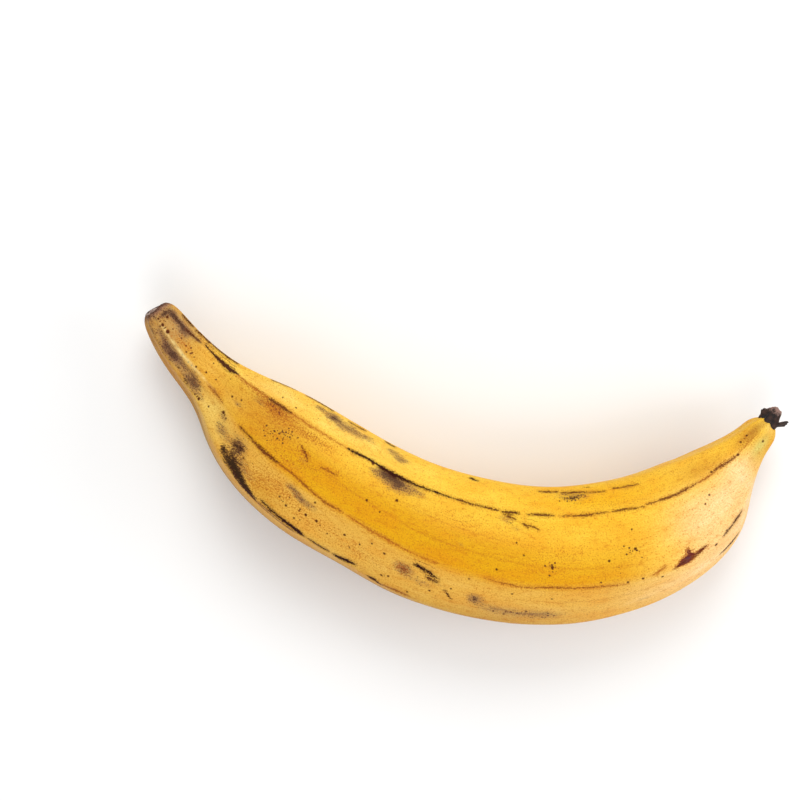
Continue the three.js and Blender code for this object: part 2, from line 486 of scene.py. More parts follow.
class NodeSheet:
    """A short hand for writing one material's shader nodes."""

    def __init__(self, name: str) -> None:
        """Makes an empty material with an output and a Principled shader."""
        self.material = bpy.data.materials.new(name)
        self.material.use_nodes = True
        self.tree = self.material.node_tree
        self.tree.nodes.clear()
        self.shader = self.tree.nodes.new("ShaderNodeBsdfPrincipled")
        out = self.tree.nodes.new("ShaderNodeOutputMaterial")
        self.tree.links.new(self.shader.outputs[0], out.inputs[0])

    def join(self, source: Input, socket: bpy.types.NodeSocket) -> None:
        """Links an output to an input, or sets the input to a plain value.

        Args:
            source: an output, a number, or three numbers for a colour or vector.
            socket: the input.
        """
        if isinstance(source, Value):
            self.tree.links.new(source.socket, socket)
        elif socket.type == "RGBA":
            socket.default_value = (*source, 1.0)
        else:
            socket.default_value = source

    def node(self, kind: str, inputs: dict[int | str, Input], **options: str) -> bpy.types.Node:
        """Makes a shader node.

        Args:
            kind: its type, without the ShaderNode that every type begins with.
            inputs: what goes into its sockets, by their numbers or names.
            options: its own settings.

        Returns:
            The new node.
        """
        made = self.tree.nodes.new("ShaderNode" + kind)
        for name, choice in options.items():
            setattr(made, name, choice)
        for socket, source in inputs.items():
            self.join(source, made.inputs[socket])
        return made

    def attribute(self, name: str, output: str = "Fac") -> Value:
        """The value, vector or colour of a mesh attribute."""
        return Value(self, self.node("Attribute", {}, attribute_name=name).outputs[output])

    def map_uv(self, name: str) -> Value:
        """The piece's own map of this name."""
        return Value(self, self.node("UVMap", {}, uv_map=name).outputs[0])

    def place(self) -> Value:
        """Object coordinates in metres."""
        return Value(self, self.node("TexCoord", {}).outputs["Object"])

    def split(self, vector: Value) -> tuple[Value, ...]:
        """The three parts of a vector."""
        return tuple(Value(self, part) for part in self.node("SeparateXYZ", {0: vector}).outputs)

    def scaled(self, vector: Value, by: Rgb) -> Value:
        """A vector times three numbers."""
        return Value(self, self.node("VectorMath", {0: vector, 1: by}, operation="MULTIPLY").outputs[0])

    def length(self, x: Value, y: Value) -> Value:
        """The length of a flat vector."""
        flat = Value(self, self.node("CombineXYZ", {0: x, 1: y}).outputs[0])
        return Value(self, self.node("VectorMath", {0: flat}, operation="LENGTH").outputs["Value"])

    def noise(self, vector: Value, scale: float, detail: float = 3.0, rough: float = 0.55) -> Value:
        """Fractal noise, about 0 to 1."""
        inputs = {"Vector": vector, "Scale": scale, "Detail": detail, "Roughness": rough}
        return Value(self, self.node("TexNoise", inputs).outputs["Fac"])

    def stray(self, vector: Value, scale: float, detail: float, rough: float) -> Value:
        """Fractal noise about zero."""
        return self.noise(vector, scale, detail, rough) - 0.5

    def cells(self, vector: Value, scale: float, space: str = "3D") -> tuple[Value, Value]:
        """Distance to the nearest of scattered points, and a random number for each point."""
        node = self.node("TexVoronoi", {"Vector": vector, "Scale": scale}, voronoi_dimensions=space)
        return Value(self, node.outputs["Distance"]), self.split(Value(self, node.outputs["Color"]))[0]

    def math(self, operation: str, a: Input, b: Input = 0.0) -> Value:
        """One step of arithmetic."""
        return Value(self, self.node("Math", {0: a, 1: b}, operation=operation).outputs[0])

    def ramp(self, value: Value, low: float, high: float, start: float = 0.0, end: float = 1.0) -> Value:
        """A smooth step from start, at low, to end, at high. It may run either way."""
        inputs = {0: value, 1: low, 2: high, 3: start, 4: end}
        return Value(self, self.node("MapRange", inputs, interpolation_type="SMOOTHSTEP").outputs[0])

    def mix(self, share: Input, first: Input, second: Input, how: str = "MIX") -> Value:
        """Mixes two colours."""
        node = self.node("Mix", {0: share, 6: first, 7: second}, data_type="RGBA", blend_type=how)
        return Value(self, node.outputs[2])

    def cover(self, ground: Input, where: Value, coat: Coat) -> Value:
        """Lays a coat on the ground where it belongs, as far as it covers."""
        return self.mix(where * coat.cover, ground, linear(coat.rgb))

    def bump(self, height: Value, distance: float) -> None:
        """Gives the shader small relief; distance is in metres for a height of 1."""
        node = self.node("Bump", {"Strength": 1.0, "Distance": distance, "Height": height})
        self.join(Value(self, node.outputs[0]), self.shader.inputs["Normal"])

    def finish(self, colour: Value, roughness: Value | float, gloss: float) -> bpy.types.Material:
        """Sets the shader's main inputs.

        Args:
            colour: the base colour.
            roughness: from the nodes, or one number.
            gloss: the specular level.

        Returns:
            The finished material.
        """
        self.join(colour, self.shader.inputs["Base Color"])
        self.join(roughness, self.shader.inputs["Roughness"])
        self.shader.inputs["Specular IOR Level"].default_value = gloss
        return self.material


@dataclass(frozen=True)
class PeelFinish:
    """The finish of ripe plantain peel: fibres, mottling, pores, flecks, hazes, bruises and scars, with a
    painted highlight along a ridge.
    """

    pore: Rgb = (190, 112, 20)
    fleck: Coat = Coat((84, 34, 8), 0.9)
    dot: Coat = Coat((84, 34, 8), 0.97)
    haze: Coat = Coat((122, 84, 64), 0.74)
    dust: Coat = Coat((70, 42, 32), 0.75)
    deep_haze: Coat = Coat((70, 42, 32), 0.85)
    rust: Coat = Coat((170, 86, 10), 0.7)
    red_scar: Coat = Coat((98, 34, 24))
    plum: Coat = Coat((84, 50, 58), 0.8)
    bruised: Coat = Coat((98, 56, 34), 0.75)
    dark: Coat = Coat((32, 17, 7), 0.92)
    # painted highlight along ridge 2 in the neck
    pale: Coat = Coat((250, 226, 150))
    scar: Rgb = (84, 26, 6)
    ink: Rgb = (50, 14, 4)
    glow: float = 0.45
    roughness: float = 0.43
    gloss: float = 0.12
    relief: float = 0.00024

    def build(self) -> bpy.types.Material:
        """Writes the peel's material.

        Returns:
            The material, which reads the peel's two maps and its attributes.
        """
        s = NodeSheet("peel")
        grain = s.map_uv("grain")
        long_grain, torn_grain = s.scaled(grain, (0.35, 1.0, 0.0)), s.scaled(grain, (0.5, 1.0, 0.0))
        fibres = s.scaled(s.map_uv("wrap"), (17.0, 120.0, 0.0))
        patches = s.noise(s.scaled(grain, (0.4, 1.0, 0.0)), 0.16)
        streak = s.noise(fibres, 1.3, 4.0, 0.65)
        fine = s.noise(fibres, 5.0, 2.0)
        mottle = s.noise(s.scaled(grain, (0.6, 1.0, 0.0)), 0.5, 6.0, 0.75)
        sand = s.noise(grain, 1.9, 4.0, 0.8)
        ragged, crumbs = s.stray(grain, 1.0, 6.0, 0.8), s.stray(grain, 1.9, 3.0, 0.6)

        # the ground: the tint, multiplied by a shade as each pattern rises or falls past two values
        colour = s.attribute("tint", "Color")
        for pattern, low, high, most, shade in (
                (patches, 0.42, 0.68, 0.5, (0.98, 0.78, 0.5)),
                (patches, 0.45, 0.3, 0.6, (1.04, 1.1, 1.4)),
                (streak, 0.5, 0.72, 0.45, (0.9, 0.74, 0.5)),
                (mottle, 0.51, 0.64, 0.6, (0.8, 0.62, 0.45)),
                (sand, 0.5, 0.62, 0.8, (0.78, 0.64, 0.5)),
                (sand, 0.48, 0.36, 0.8, (1.12, 1.2, 1.4)),
                (fine, 0.55, 0.75, 0.5, (1.06, 1.12, 1.3))):
            shaded = s.mix(1.0, colour, shade, "MULTIPLY")
            colour = s.mix(s.ramp(pattern, low, high, 0.0, most), colour, shaded)

        # pores: very small orange brown dots all over, darker and thicker where the flecks are
        flecks = s.attribute("flecks")
        crowd = flecks * flecks
        far, chance = s.cells(grain, 0.95, "2D")
        pores = s.ramp(far, 0.12, 0.27, 1.0, 0.0) * s.ramp(0.3 + flecks * 0.5 - chance, 0.0, 0.25)
        packed = s.ramp(crowd, 0.35, 0.8)
        speck = s.mix(packed, linear(self.pore), linear(self.fleck.rgb))
        colour = s.mix(pores * (0.65 + packed * 0.3), colour, speck)

        # flecks: sparse dark dots, each with its own size
        far, chance = s.cells(grain, 0.62, "2D")
        size = s.math("MINIMUM", (0.035 + crowd * 0.8 - chance) * 1.6, 0.2)
        colour = s.cover(colour, s.ramp(size - far, -0.08, 0.04), self.fleck)

        # hazes: soft purple brown smudges, broken up along the fibres and full of fine dark grains
        soft = s.attribute("haze")
        broken = s.stray(long_grain, 0.8, 7.0, 0.8)
        haze = s.ramp(soft + broken * 2.6, 0.05, 1.5) * s.ramp(soft, 0.02, 0.6)
        colour = s.cover(colour, haze, self.haze)
        far, chance = s.cells(grain, 1.7, "2D")
        dusty = s.ramp(haze * 1.1 - chance, 0.0, 0.2)
        colour = s.cover(colour, s.ramp(far, 0.2, 0.42, 1.0, 0.0) * dusty, self.dust)
        colour = s.cover(colour, s.ramp(soft + broken * 2.2, 1.05, 1.8), self.deep_haze)

        # rusty scars: reddish brown with a ragged edge, plum coloured in the middle of the worst
        rusted = s.attribute("rust") + ragged * 1.8 + crumbs * 1.6
        for low, high, coat in ((0.16, 0.6, self.rust), (0.62, 0.85, self.red_scar), (1.15, 1.5, self.plum)):
            colour = s.cover(colour, s.ramp(rusted, low, high), coat)

        # bruises: brown at the torn edge and nearly black inside
        bruised = s.attribute("bruise")
        tears = s.stray(torn_grain, 0.9, 7.0, 0.8) + crumbs * 0.7
        torn = bruised + tears * s.ramp(bruised, 0.02, 0.2, 0.0, 2.2)
        bruise = s.ramp(torn, 0.32, 0.68)
        colour = s.cover(colour, bruise, self.bruised)
        colour = s.cover(colour, s.ramp(torn, 0.55, 0.95), self.dark)

        # painted highlight: a pale line along ridge 2 in the neck, broken up by the mottle
        colour = s.cover(colour, s.attribute("pale") * s.ramp(mottle, 0.35, 0.6, 1.0, 0.3), self.pale)

        # strokes: the dry lines along the ridges, from rusty to inky, each in a glow
        gap, half, tone = s.split(s.attribute("stroke", "Vector"))
        wander = s.stray(long_grain, 0.8, 6.0, 0.8) * 1.6
        patchy = s.stray(torn_grain, 0.9, 6.0, 0.8) * 2.0 + crumbs * 2.0
        inside = half - abs(gap + wander) + patchy
        rust, scar = linear(self.rust.rgb), linear(self.scar)
        halo = s.mix(s.ramp(tone, 0.3, 0.9), rust, scar)
        colour = s.mix(s.ramp(inside, -1.3, 0.2) * self.glow, colour, halo)
        line = s.ramp(inside, -0.3, 0.25)
        drawn = s.mix(s.ramp(tone, 0.0, 0.5), rust, scar)
        drawn = s.mix(s.ramp(tone, 0.7, 1.0), drawn, linear(self.ink))
        colour = s.mix(line * (0.6 + tone * 0.4), colour, drawn)

        # dots: single dark dots, listed one by one
        along, across, radius = s.split(s.attribute("dot", "Vector"))
        dot = s.ramp(radius - s.length(along, across) + ragged * 0.9, -0.25, 0.2)
        colour = s.cover(colour, dot, self.dot)

        marks = s.math("MAXIMUM", line * tone, s.math("MAXIMUM", bruise, dot))
        rough = streak * 0.14 + self.roughness + marks * 0.25 + haze * 0.1
        s.bump(streak * 0.5 + fine * 0.2 + sand * 0.3 - pores * 0.15 - marks * 0.7, self.relief)
        return s.finish(colour, rough, self.gloss)


@dataclass(frozen=True)
class CutFinish:
    """The dried face of the cut stem: pinkish grey pith with dark strands and rings and a dark rim."""

    pith: Rgb = (150, 122, 110)
    fresh: Rgb = (196, 172, 158)
    strand: Coat = Coat((52, 34, 32), 0.8)
    ring: Coat = Coat((52, 34, 32), 0.45)
    rim: Coat = Coat((52, 34, 32), 0.85)
    roughness: float = 0.82
    gloss: float = 0.25
    relief: float = 0.0005

    def build(self) -> bpy.types.Material:
        """Writes the cut's material.

        Returns:
            The material, which reads object coordinates and the share of the way to the rim.
        """
        s = NodeSheet("stem_cut")
        place, radius = s.place(), s.attribute("rim")
        soft = s.noise(place, 420.0, 5.0, 0.65)
        colour = s.mix(s.ramp(soft, 0.35, 0.65), linear(self.pith), linear(self.fresh))
        far, chance = s.cells(place, 900.0)
        strands = s.ramp(far, 0.18, 0.34, 1.0, 0.0) * s.ramp(chance, 0.45, 0.6)
        colour = s.cover(colour, strands, self.strand)
        waves = s.math("SINE", radius * 26.0 + soft * 9.0)
        colour = s.cover(colour, s.ramp(waves, 0.1, 0.9), self.ring)
        ragged = s.stray(place, 700.0, 4.0, 0.7) * 0.5
        colour = s.cover(colour, s.ramp(radius + ragged, 0.78, 0.95), self.rim)
        s.bump(soft - strands * 0.5, self.relief)
        return s.finish(colour, self.roughness, self.gloss)


@dataclass(frozen=True)
class HuskFinish:
    """The withered flower stub: black brown, with tan and grey-pink where it is torn, which on the top of the
    torn rim is partly a painted highlight.
    """

    black: Rgb = (30, 21, 20)
    brown: Rgb = (74, 52, 44)
    # torn husk colour, partly a painted highlight on the top of the torn rim
    torn: Coat = Coat((164, 130, 118), 0.8)
    roughness: tuple[float, float] = (0.6, 0.85)
    gloss: float = 0.35
    relief: float = 0.0006

    def build(self) -> bpy.types.Material:
        """Writes the stub's material.

        Returns:
            The material, which reads object coordinates and how pale the torn husk is, partly as a painted
            highlight on the top of the rim.
        """
        s = NodeSheet("dry_husk")
        place = s.place()
        soft = s.noise(place, 480.0, 5.0, 0.65)
        colour = s.mix(s.ramp(soft, 0.4, 0.68), linear(self.black), linear(self.brown))
        # tan where the husk is torn, and a painted highlight on the top of the torn rim
        bare_and_highlight = s.attribute("bare_and_highlight") + s.noise(place, 900.0, 4.0, 0.75) * 1.5
        colour = s.cover(colour, s.ramp(bare_and_highlight, 1.2, 1.6), self.torn)
        s.bump(soft + s.noise(place, 1600.0), self.relief)
        return s.finish(colour, s.ramp(soft, 0.3, 0.7, *self.roughness), self.gloss)


@dataclass(frozen=True)
class FloorFinish:
    """A plain, very pale matte table."""

    value: float = 0.9
    clouding: float = 0.01
    roughness: float = 0.9
    gloss: float = 0.2

    def build(self) -> bpy.types.Material:
        """Writes the table's material.

        Returns:
            The material, faintly clouded.
        """
        s = NodeSheet("pale_table")
        grey = s.ramp(s.noise(s.place(), 3.0), 0.3, 0.7, self.value - self.clouding, self.value)
        return s.finish(grey, self.roughness, self.gloss)


@dataclass
class PeelMarks:
    """Every mark of the peel, each placed by its share of the length and its ridge number."""

    strokes: tuple[Stroke, ...] = (
        # the line of ridge 1, from the neck to the tip
        Stroke(0.8, ((0.05, 1.1, 0.1), (0.063, 1.0, 0.3), (0.078, 0.85, 0.2))),
        Stroke(0.9, ((0.084, 0.66, 0.2), (0.1, 0.74, 0.5), (0.118, 0.81, 1.0), (0.133, 0.84, 1.15),
            (0.142, 0.82, 0.4))),
        Stroke(0.15, ((0.141, 0.88, 0.3), (0.155, 0.95, 0.35), (0.17, 0.98, 0.3), (0.196, 1.0, 0.35))),
        Stroke(0.6, ((0.192, 1.0, 0.3), (0.205, 1.0, 0.45), (0.222, 1.0, 0.5), (0.236, 1.0, 0.3))),
        Stroke(0.12, ((0.236, 1.0, 0.35), (0.262, 1.01, 0.25), (0.3, 1.0, 0.1), (0.33, 1.0, 0.1))),
        Stroke(1.0, ((0.33, 1.0, 0.25), (0.345, 0.99, 0.5), (0.358, 0.97, 0.4), (0.372, 0.97, 0.4),
            (0.385, 1.0, 0.7), (0.402, 1.01, 0.8), (0.418, 1.01, 0.5), (0.441, 1.01, 0.28),
            (0.47, 0.99, 0.28), (0.5, 0.99, 0.1))),
        Stroke(0.75, ((0.5, 0.99, 0.3), (0.53, 1.0, 0.22), (0.562, 1.0, 0.18))),
        Stroke(0.8, ((0.568, 1.01, 0.2), (0.58, 1.0, 0.35), (0.592, 0.99, 0.2))),
        Stroke(0.7, ((0.605, 0.98, 0.1), (0.618, 0.97, 0.3), (0.632, 0.96, 0.4), (0.645, 0.97, 0.1))),
        Stroke(0.5, ((0.652, 0.98, 0.0), (0.675, 0.98, 0.15), (0.692, 0.98, 0.45), (0.708, 0.97, 0.2),
            (0.726, 0.97, 0.0))),
        Stroke(0.6, ((0.732, 0.96, 0.0), (0.752, 0.97, 0.28), (0.772, 0.99, 0.15), (0.78, 1.0, 0.0))),
        Stroke(0.5, ((0.785, 0.97, 0.1), (0.8, 0.97, 0.2), (0.82, 0.99, 0.4), (0.842, 1.0, 0.45),
            (0.858, 0.99, 0.2), (0.872, 0.98, 0.0))),
        Stroke(0.25, ((0.872, 1.0, 0.15), (0.886, 1.0, 0.25), (0.9, 1.0, 0.15))),
        Stroke(0.45, ((0.9, 0.93, 0.25), (0.912, 0.95, 0.5), (0.926, 1.0, 0.4), (0.934, 1.0, 0.15))),
        Stroke(0.0, ((0.94, 1.0, -0.1), (0.955, 0.92, 0.0), (0.97, 0.85, 0.0), (0.98, 0.85, -0.3))),
        # the line of ridge 2
        Stroke(0.3, ((0.128, 2.02, 0.0), (0.145, 1.98, 0.2), (0.158, 1.98, 0.0))),
        Stroke(0.55, ((0.196, 1.98, 0.15), (0.222, 1.97, 0.25), (0.238, 1.98, 0.55), (0.25, 1.97, 0.45),
            (0.264, 1.95, 0.25))),
        Stroke(0.3, ((0.264, 1.95, 0.25), (0.285, 1.94, 0.2), (0.305, 1.96, 0.3), (0.325, 2.0, 0.1),
            (0.345, 2.02, 0.3), (0.365, 2.0, 0.1))),
        Stroke(0.15, ((0.375, 2.0, 0.1), (0.41, 2.02, 0.25), (0.43, 2.0, 0.3), (0.45, 2.0, 0.1),
            (0.5, 1.99, 0.0))),
        Stroke(0.3, ((0.56, 2.0, -0.1), (0.58, 2.03, 0.15), (0.61, 2.03, 0.0), (0.64, 2.0, 0.25),
            (0.67, 2.0, 0.1), (0.7, 2.02, 0.15), (0.73, 2.05, -0.1))),
        Stroke(0.0, ((0.3, 1.6, -0.7), (0.36, 1.62, -0.3), (0.45, 1.66, -0.35), (0.55, 1.68, -0.3),
            (0.65, 1.72, -0.4), (0.74, 1.76, -0.7))),
        Stroke(0.0, ((0.4, 1.36, -0.8), (0.47, 1.38, -0.45), (0.56, 1.42, -0.5), (0.62, 1.44, -0.8))),
        Stroke(0.0, ((0.58, 2.32, -0.8), (0.64, 2.33, -0.5), (0.72, 2.34, -0.4), (0.79, 2.34, -0.8))),
        # ridge 3: the bruised run under the first shoulder
        Stroke(1.0, ((0.222, 2.98, 0.1), (0.24, 3.03, 0.3), (0.256, 3.03, 0.5), (0.268, 3.02, 0.35))),
        Stroke(1.0, ((0.276, 2.94, 0.2), (0.3, 2.95, 0.35), (0.32, 2.97, 0.7), (0.332, 2.99, 0.9),
            (0.338, 2.99, 0.2))),
        Stroke(0.6, ((0.262, 3.05, 0.2), (0.29, 3.06, 0.2), (0.325, 3.06, 0.15))),
        Stroke(0.9, ((0.346, 3.0, 0.2), (0.36, 3.01, 0.35), (0.373, 3.0, 0.2))),
        Stroke(1.0, ((0.381, 3.0, 0.2), (0.388, 3.0, 0.65), (0.397, 2.96, 0.75), (0.406, 2.92, 0.35),
            (0.412, 2.9, 0.1))),
        Stroke(0.9, ((0.432, 3.0, 0.25), (0.44, 3.0, 0.65), (0.448, 3.03, 0.3))),
        Stroke(0.3, ((0.452, 3.0, 0.2), (0.465, 2.97, 0.5), (0.48, 2.95, 0.2))),
        Stroke(0.7, ((0.455, 3.3, 0.2), (0.475, 3.42, 0.5), (0.49, 3.45, 0.2))),
        Stroke(0.8, ((0.55, 3.5, 0.3), (0.58, 3.52, 0.6), (0.63, 3.52, 0.6), (0.67, 3.5, 0.25))),
        # ridge 0: thin lines near the hollow side
        Stroke(0.9, ((0.03, 0.24, 0.1), (0.042, 0.22, 0.2), (0.052, 0.18, 0.1))),
        Stroke(0.85, ((0.058, 0.2, 0.15), (0.09, 0.02, 0.3), (0.118, 0.05, 0.35), (0.132, 0.1, 0.15))),
        Stroke(0.85, ((0.18, 0.03, 0.15), (0.2, 0.0, 0.3), (0.215, 0.0, 0.2))),
        Stroke(0.9, ((0.235, 0.0, 0.2), (0.262, 0.0, 0.4), (0.28, 0.02, 0.25))),
        Stroke(0.7, ((0.31, 0.1, 0.1), (0.325, 0.1, 0.25), (0.34, 0.08, 0.1))),
        Stroke(0.9, ((0.372, 0.05, 0.2), (0.38, 0.07, 0.35), (0.386, 0.07, 0.15))),
        # short dashes on the faces
        Stroke(1.0, ((0.512, 0.15, 0.15), (0.516, 0.15, 0.5), (0.521, 0.17, 0.35), (0.526, 0.18, 0.1))),
        Stroke(0.6, ((0.57, 1.04, 0.1), (0.578, 1.06, 0.3), (0.588, 1.09, 0.1))),
        Stroke(0.6, ((0.598, 1.13, 0.1), (0.606, 1.17, 0.35), (0.612, 1.15, 0.15), (0.622, 1.2, 0.15))),
        Stroke(1.0, ((0.474, 2.2, 0.2), (0.479, 2.2, 0.65), (0.486, 2.22, 0.4), (0.493, 2.23, 0.5),
            (0.499, 2.26, 0.3), (0.506, 2.3, 0.1))),
        Stroke(0.8, ((0.493, 2.36, 0.1), (0.499, 2.37, 0.3), (0.506, 2.37, 0.1))),
        Stroke(0.8, ((0.517, 2.5, 0.1), (0.521, 2.56, 0.35), (0.525, 2.64, 0.1))),
        Stroke(0.7, ((0.622, 0.2, 0.1), (0.64, 0.2, 0.3), (0.655, 0.2, 0.1))),
        Stroke(0.7, ((0.66, 0.24, 0.1), (0.682, 0.24, 0.3), (0.7, 0.26, 0.1))),
        Stroke(0.6, ((0.7, 0.28, 0.1), (0.715, 0.3, 0.2), (0.732, 0.32, 0.1))),
        Stroke(0.5, ((0.745, 0.26, 0.1), (0.765, 0.28, 0.2), (0.79, 0.3, 0.1))),
        Stroke(0.4, ((0.273, 1.42, 0.1), (0.285, 1.5, 0.3), (0.293, 1.58, 0.1))),
        Stroke(0.3, ((0.312, 1.55, 0.1), (0.325, 1.52, 0.2), (0.337, 1.52, 0.1))),
        # the torn scar on the second shoulder and the lines beyond it
        Stroke(0.6, ((0.785, 2.06, 0.1), (0.793, 2.03, 0.3), (0.799, 2.0, 0.4))),
        Stroke(0.6, ((0.807, 2.02, 0.2), (0.814, 2.0, 0.3), (0.822, 1.97, 0.4), (0.828, 1.95, 0.1))),
        Stroke(0.15, ((0.76, 2.02, 0.1), (0.766, 1.99, 0.35), (0.777, 1.93, 0.1))),
        Stroke(0.9, ((0.851, 2.02, 0.1), (0.857, 2.01, 0.35), (0.863, 2.0, 0.1))),
        Stroke(0.85, ((0.866, 2.0, 0.1), (0.874, 2.0, 0.45), (0.885, 2.03, 0.1))),
        Stroke(1.0, ((0.838, 2.62, 0.2), (0.848, 2.66, 0.5), (0.858, 2.72, 0.65), (0.866, 2.78, 0.2))),
    )
    # soft marks of each kind: share, ridge, length and width in millimetres, strength
    hazes: tuple[Blot, ...] = (
        # the upper face
        (0.262, 0.24, 3.0, 1.6, 0.9), (0.285, 0.28, 3.4, 2.2, 1.4), (0.305, 0.36, 4.0, 2.4, 1.0),
        (0.33, 0.34, 5.0, 2.4, 1.0), (0.352, 0.3, 3.0, 1.4, 0.6), (0.386, 0.3, 3.0, 1.8, 0.9),
        (0.402, 0.42, 3.2, 2.0, 1.1), (0.68, 0.36, 9.0, 3.4, 0.8), (0.77, 0.34, 4.0, 1.4, 0.45),
        # under ridge 1
        (0.392, 1.07, 4.5, 1.8, 1.3), (0.412, 1.12, 5.5, 2.6, 1.15), (0.402, 1.22, 6.0, 2.0, 0.45),
        (0.44, 1.12, 6.0, 2.0, 0.8), (0.376, 1.14, 2.5, 1.6, 0.5), (0.576, 1.1, 3.6, 1.6, 0.8),
        (0.59, 1.22, 3.0, 1.6, 0.5),
        # between ridges 2 and 3
        (0.297, 2.2, 3.0, 1.1, 1.1), (0.312, 2.28, 3.0, 1.3, 1.2), (0.328, 2.3, 3.0, 1.4, 0.8),
        (0.212, 2.4, 4.2, 4.0, 1.1), (0.236, 2.7, 5.0, 2.6, 0.8), (0.182, 2.54, 3.4, 2.4, 0.95),
        (0.171, 2.24, 1.8, 1.1, 0.9), (0.464, 2.4, 3.6, 2.8, 1.2), (0.49, 2.52, 4.5, 2.0, 0.6),
        (0.51, 2.42, 2.5, 1.2, 0.35), (0.553, 2.5, 3.0, 2.2, 1.3), (0.575, 2.66, 5.0, 1.8, 0.6),
        (0.604, 2.68, 7.0, 2.2, 0.6), (0.636, 2.68, 6.0, 2.6, 0.75), (0.745, 2.64, 3.4, 1.0, 0.6),
        (0.522, 1.62, 1.6, 1.0, 0.5), (0.47, 1.48, 3.0, 1.0, 0.3),
        # the neck
        (0.0, 1.2, 2.4, 9.0, 1.5), (0.0135, 1.55, 1.0, 2.4, 1.2), (0.0195, 1.22, 1.5, 1.4, 1.2),
        (0.029, 1.18, 2.4, 1.4, 1.2), (0.042, 1.14, 2.4, 1.3, 1.2), (0.056, 1.06, 2.6, 1.3, 1.05),
        (0.052, 1.34, 2.4, 1.2, 0.8), (0.07, 0.92, 2.4, 0.9, 0.9), (0.02, 3.0, 4.0, 1.6, 0.7),
        (0.0, 4.4, 2.2, 10.0, 1.2), (0.045, 1.6, 10.0, 4.0, 0.35), (0.05, 2.6, 12.0, 3.0, 0.4),
        (0.035, 2.5, 3.0, 0.9, 0.5), (0.052, 2.66, 2.6, 1.8, 1.0), (0.068, 2.5, 2.8, 2.0, 1.25),
        (0.084, 2.4, 2.4, 1.4, 0.7), (0.104, 2.5, 3.4, 3.0, 1.15), (0.118, 2.66, 3.0, 2.2, 1.0),
        (0.135, 2.7, 2.0, 1.0, 0.6), (0.138, 1.96, 3.0, 0.9, 0.8), (0.15, 1.64, 2.2, 1.2, 0.4),
        (0.172, 1.64, 2.4, 1.0, 0.9), (0.19, 1.2, 4.0, 1.8, 0.6), (0.04, 3.6, 9.0, 5.0, 0.5),
        (0.02, 5.2, 6.0, 4.0, 0.7),
        # faint ones elsewhere
        (0.288, 1.6, 3.4, 2.0, 0.5), (0.286, 1.8, 4.0, 1.4, 0.4), (0.6, 3.25, 14.0, 2.6, 0.75),
        (0.5, 3.3, 10.0, 3.0, 0.5), (0.745, 1.58, 5.0, 2.2, 0.4), (0.641, 1.7, 3.0, 2.0, 0.4),
        (0.245, 1.4, 5.0, 2.2, 0.4),
        # the underside
        (0.3, 4.6, 10.0, 4.0, 0.5), (0.7, 4.4, 8.0, 4.0, 0.55), (0.52, 5.5, 8.0, 3.0, 0.5),
    )
    bruises: tuple[Blot, ...] = (
        # the upper face
        (0.645, 0.24, 1.2, 0.5, 0.6), (0.666, 0.45, 2.4, 0.7, 0.62), (0.68, 0.42, 2.2, 0.9, 0.72),
        (0.694, 0.36, 1.8, 0.7, 0.66), (0.672, 0.6, 3.0, 0.5, 0.42), (0.69, 0.64, 2.0, 0.4, 0.36),
        (0.706, 0.1, 3.0, 0.5, 0.45),
        # under ridge 1
        (0.4, 1.05, 4.0, 1.2, 0.45), (0.582, 1.17, 1.4, 0.7, 0.35),
        # between ridges 2 and 3
        (0.209, 2.44, 2.6, 2.4, 0.55), (0.217, 2.36, 1.8, 1.6, 0.42), (0.2, 2.82, 1.3, 1.2, 0.85),
        (0.212, 2.84, 2.4, 2.6, 0.8), (0.224, 2.82, 2.6, 2.8, 0.8), (0.236, 2.92, 2.6, 1.8, 0.85),
        (0.248, 2.99, 2.8, 1.5, 0.85), (0.26, 3.01, 2.6, 1.3, 0.85), (0.466, 2.44, 1.6, 1.2, 0.5),
        (0.553, 2.51, 1.1, 0.9, 0.7), (0.748, 2.66, 2.2, 0.6, 0.28),
        # the neck
        (0.032, 1.18, 4.0, 0.7, 0.5), (0.0135, 1.45, 0.7, 2.4, 0.42), (0.002, 4.4, 1.2, 8.0, 0.45),
        (0.066, 2.74, 1.6, 1.0, 0.38), (0.082, 2.72, 1.8, 0.8, 0.48), (0.102, 2.88, 2.4, 1.4, 0.5),
        (0.104, 2.36, 1.6, 0.9, 0.3),
        # the underside
        (0.56, 4.02, 7.0, 1.4, 0.36), (0.38, 5.02, 9.0, 1.2, 0.36),
    )
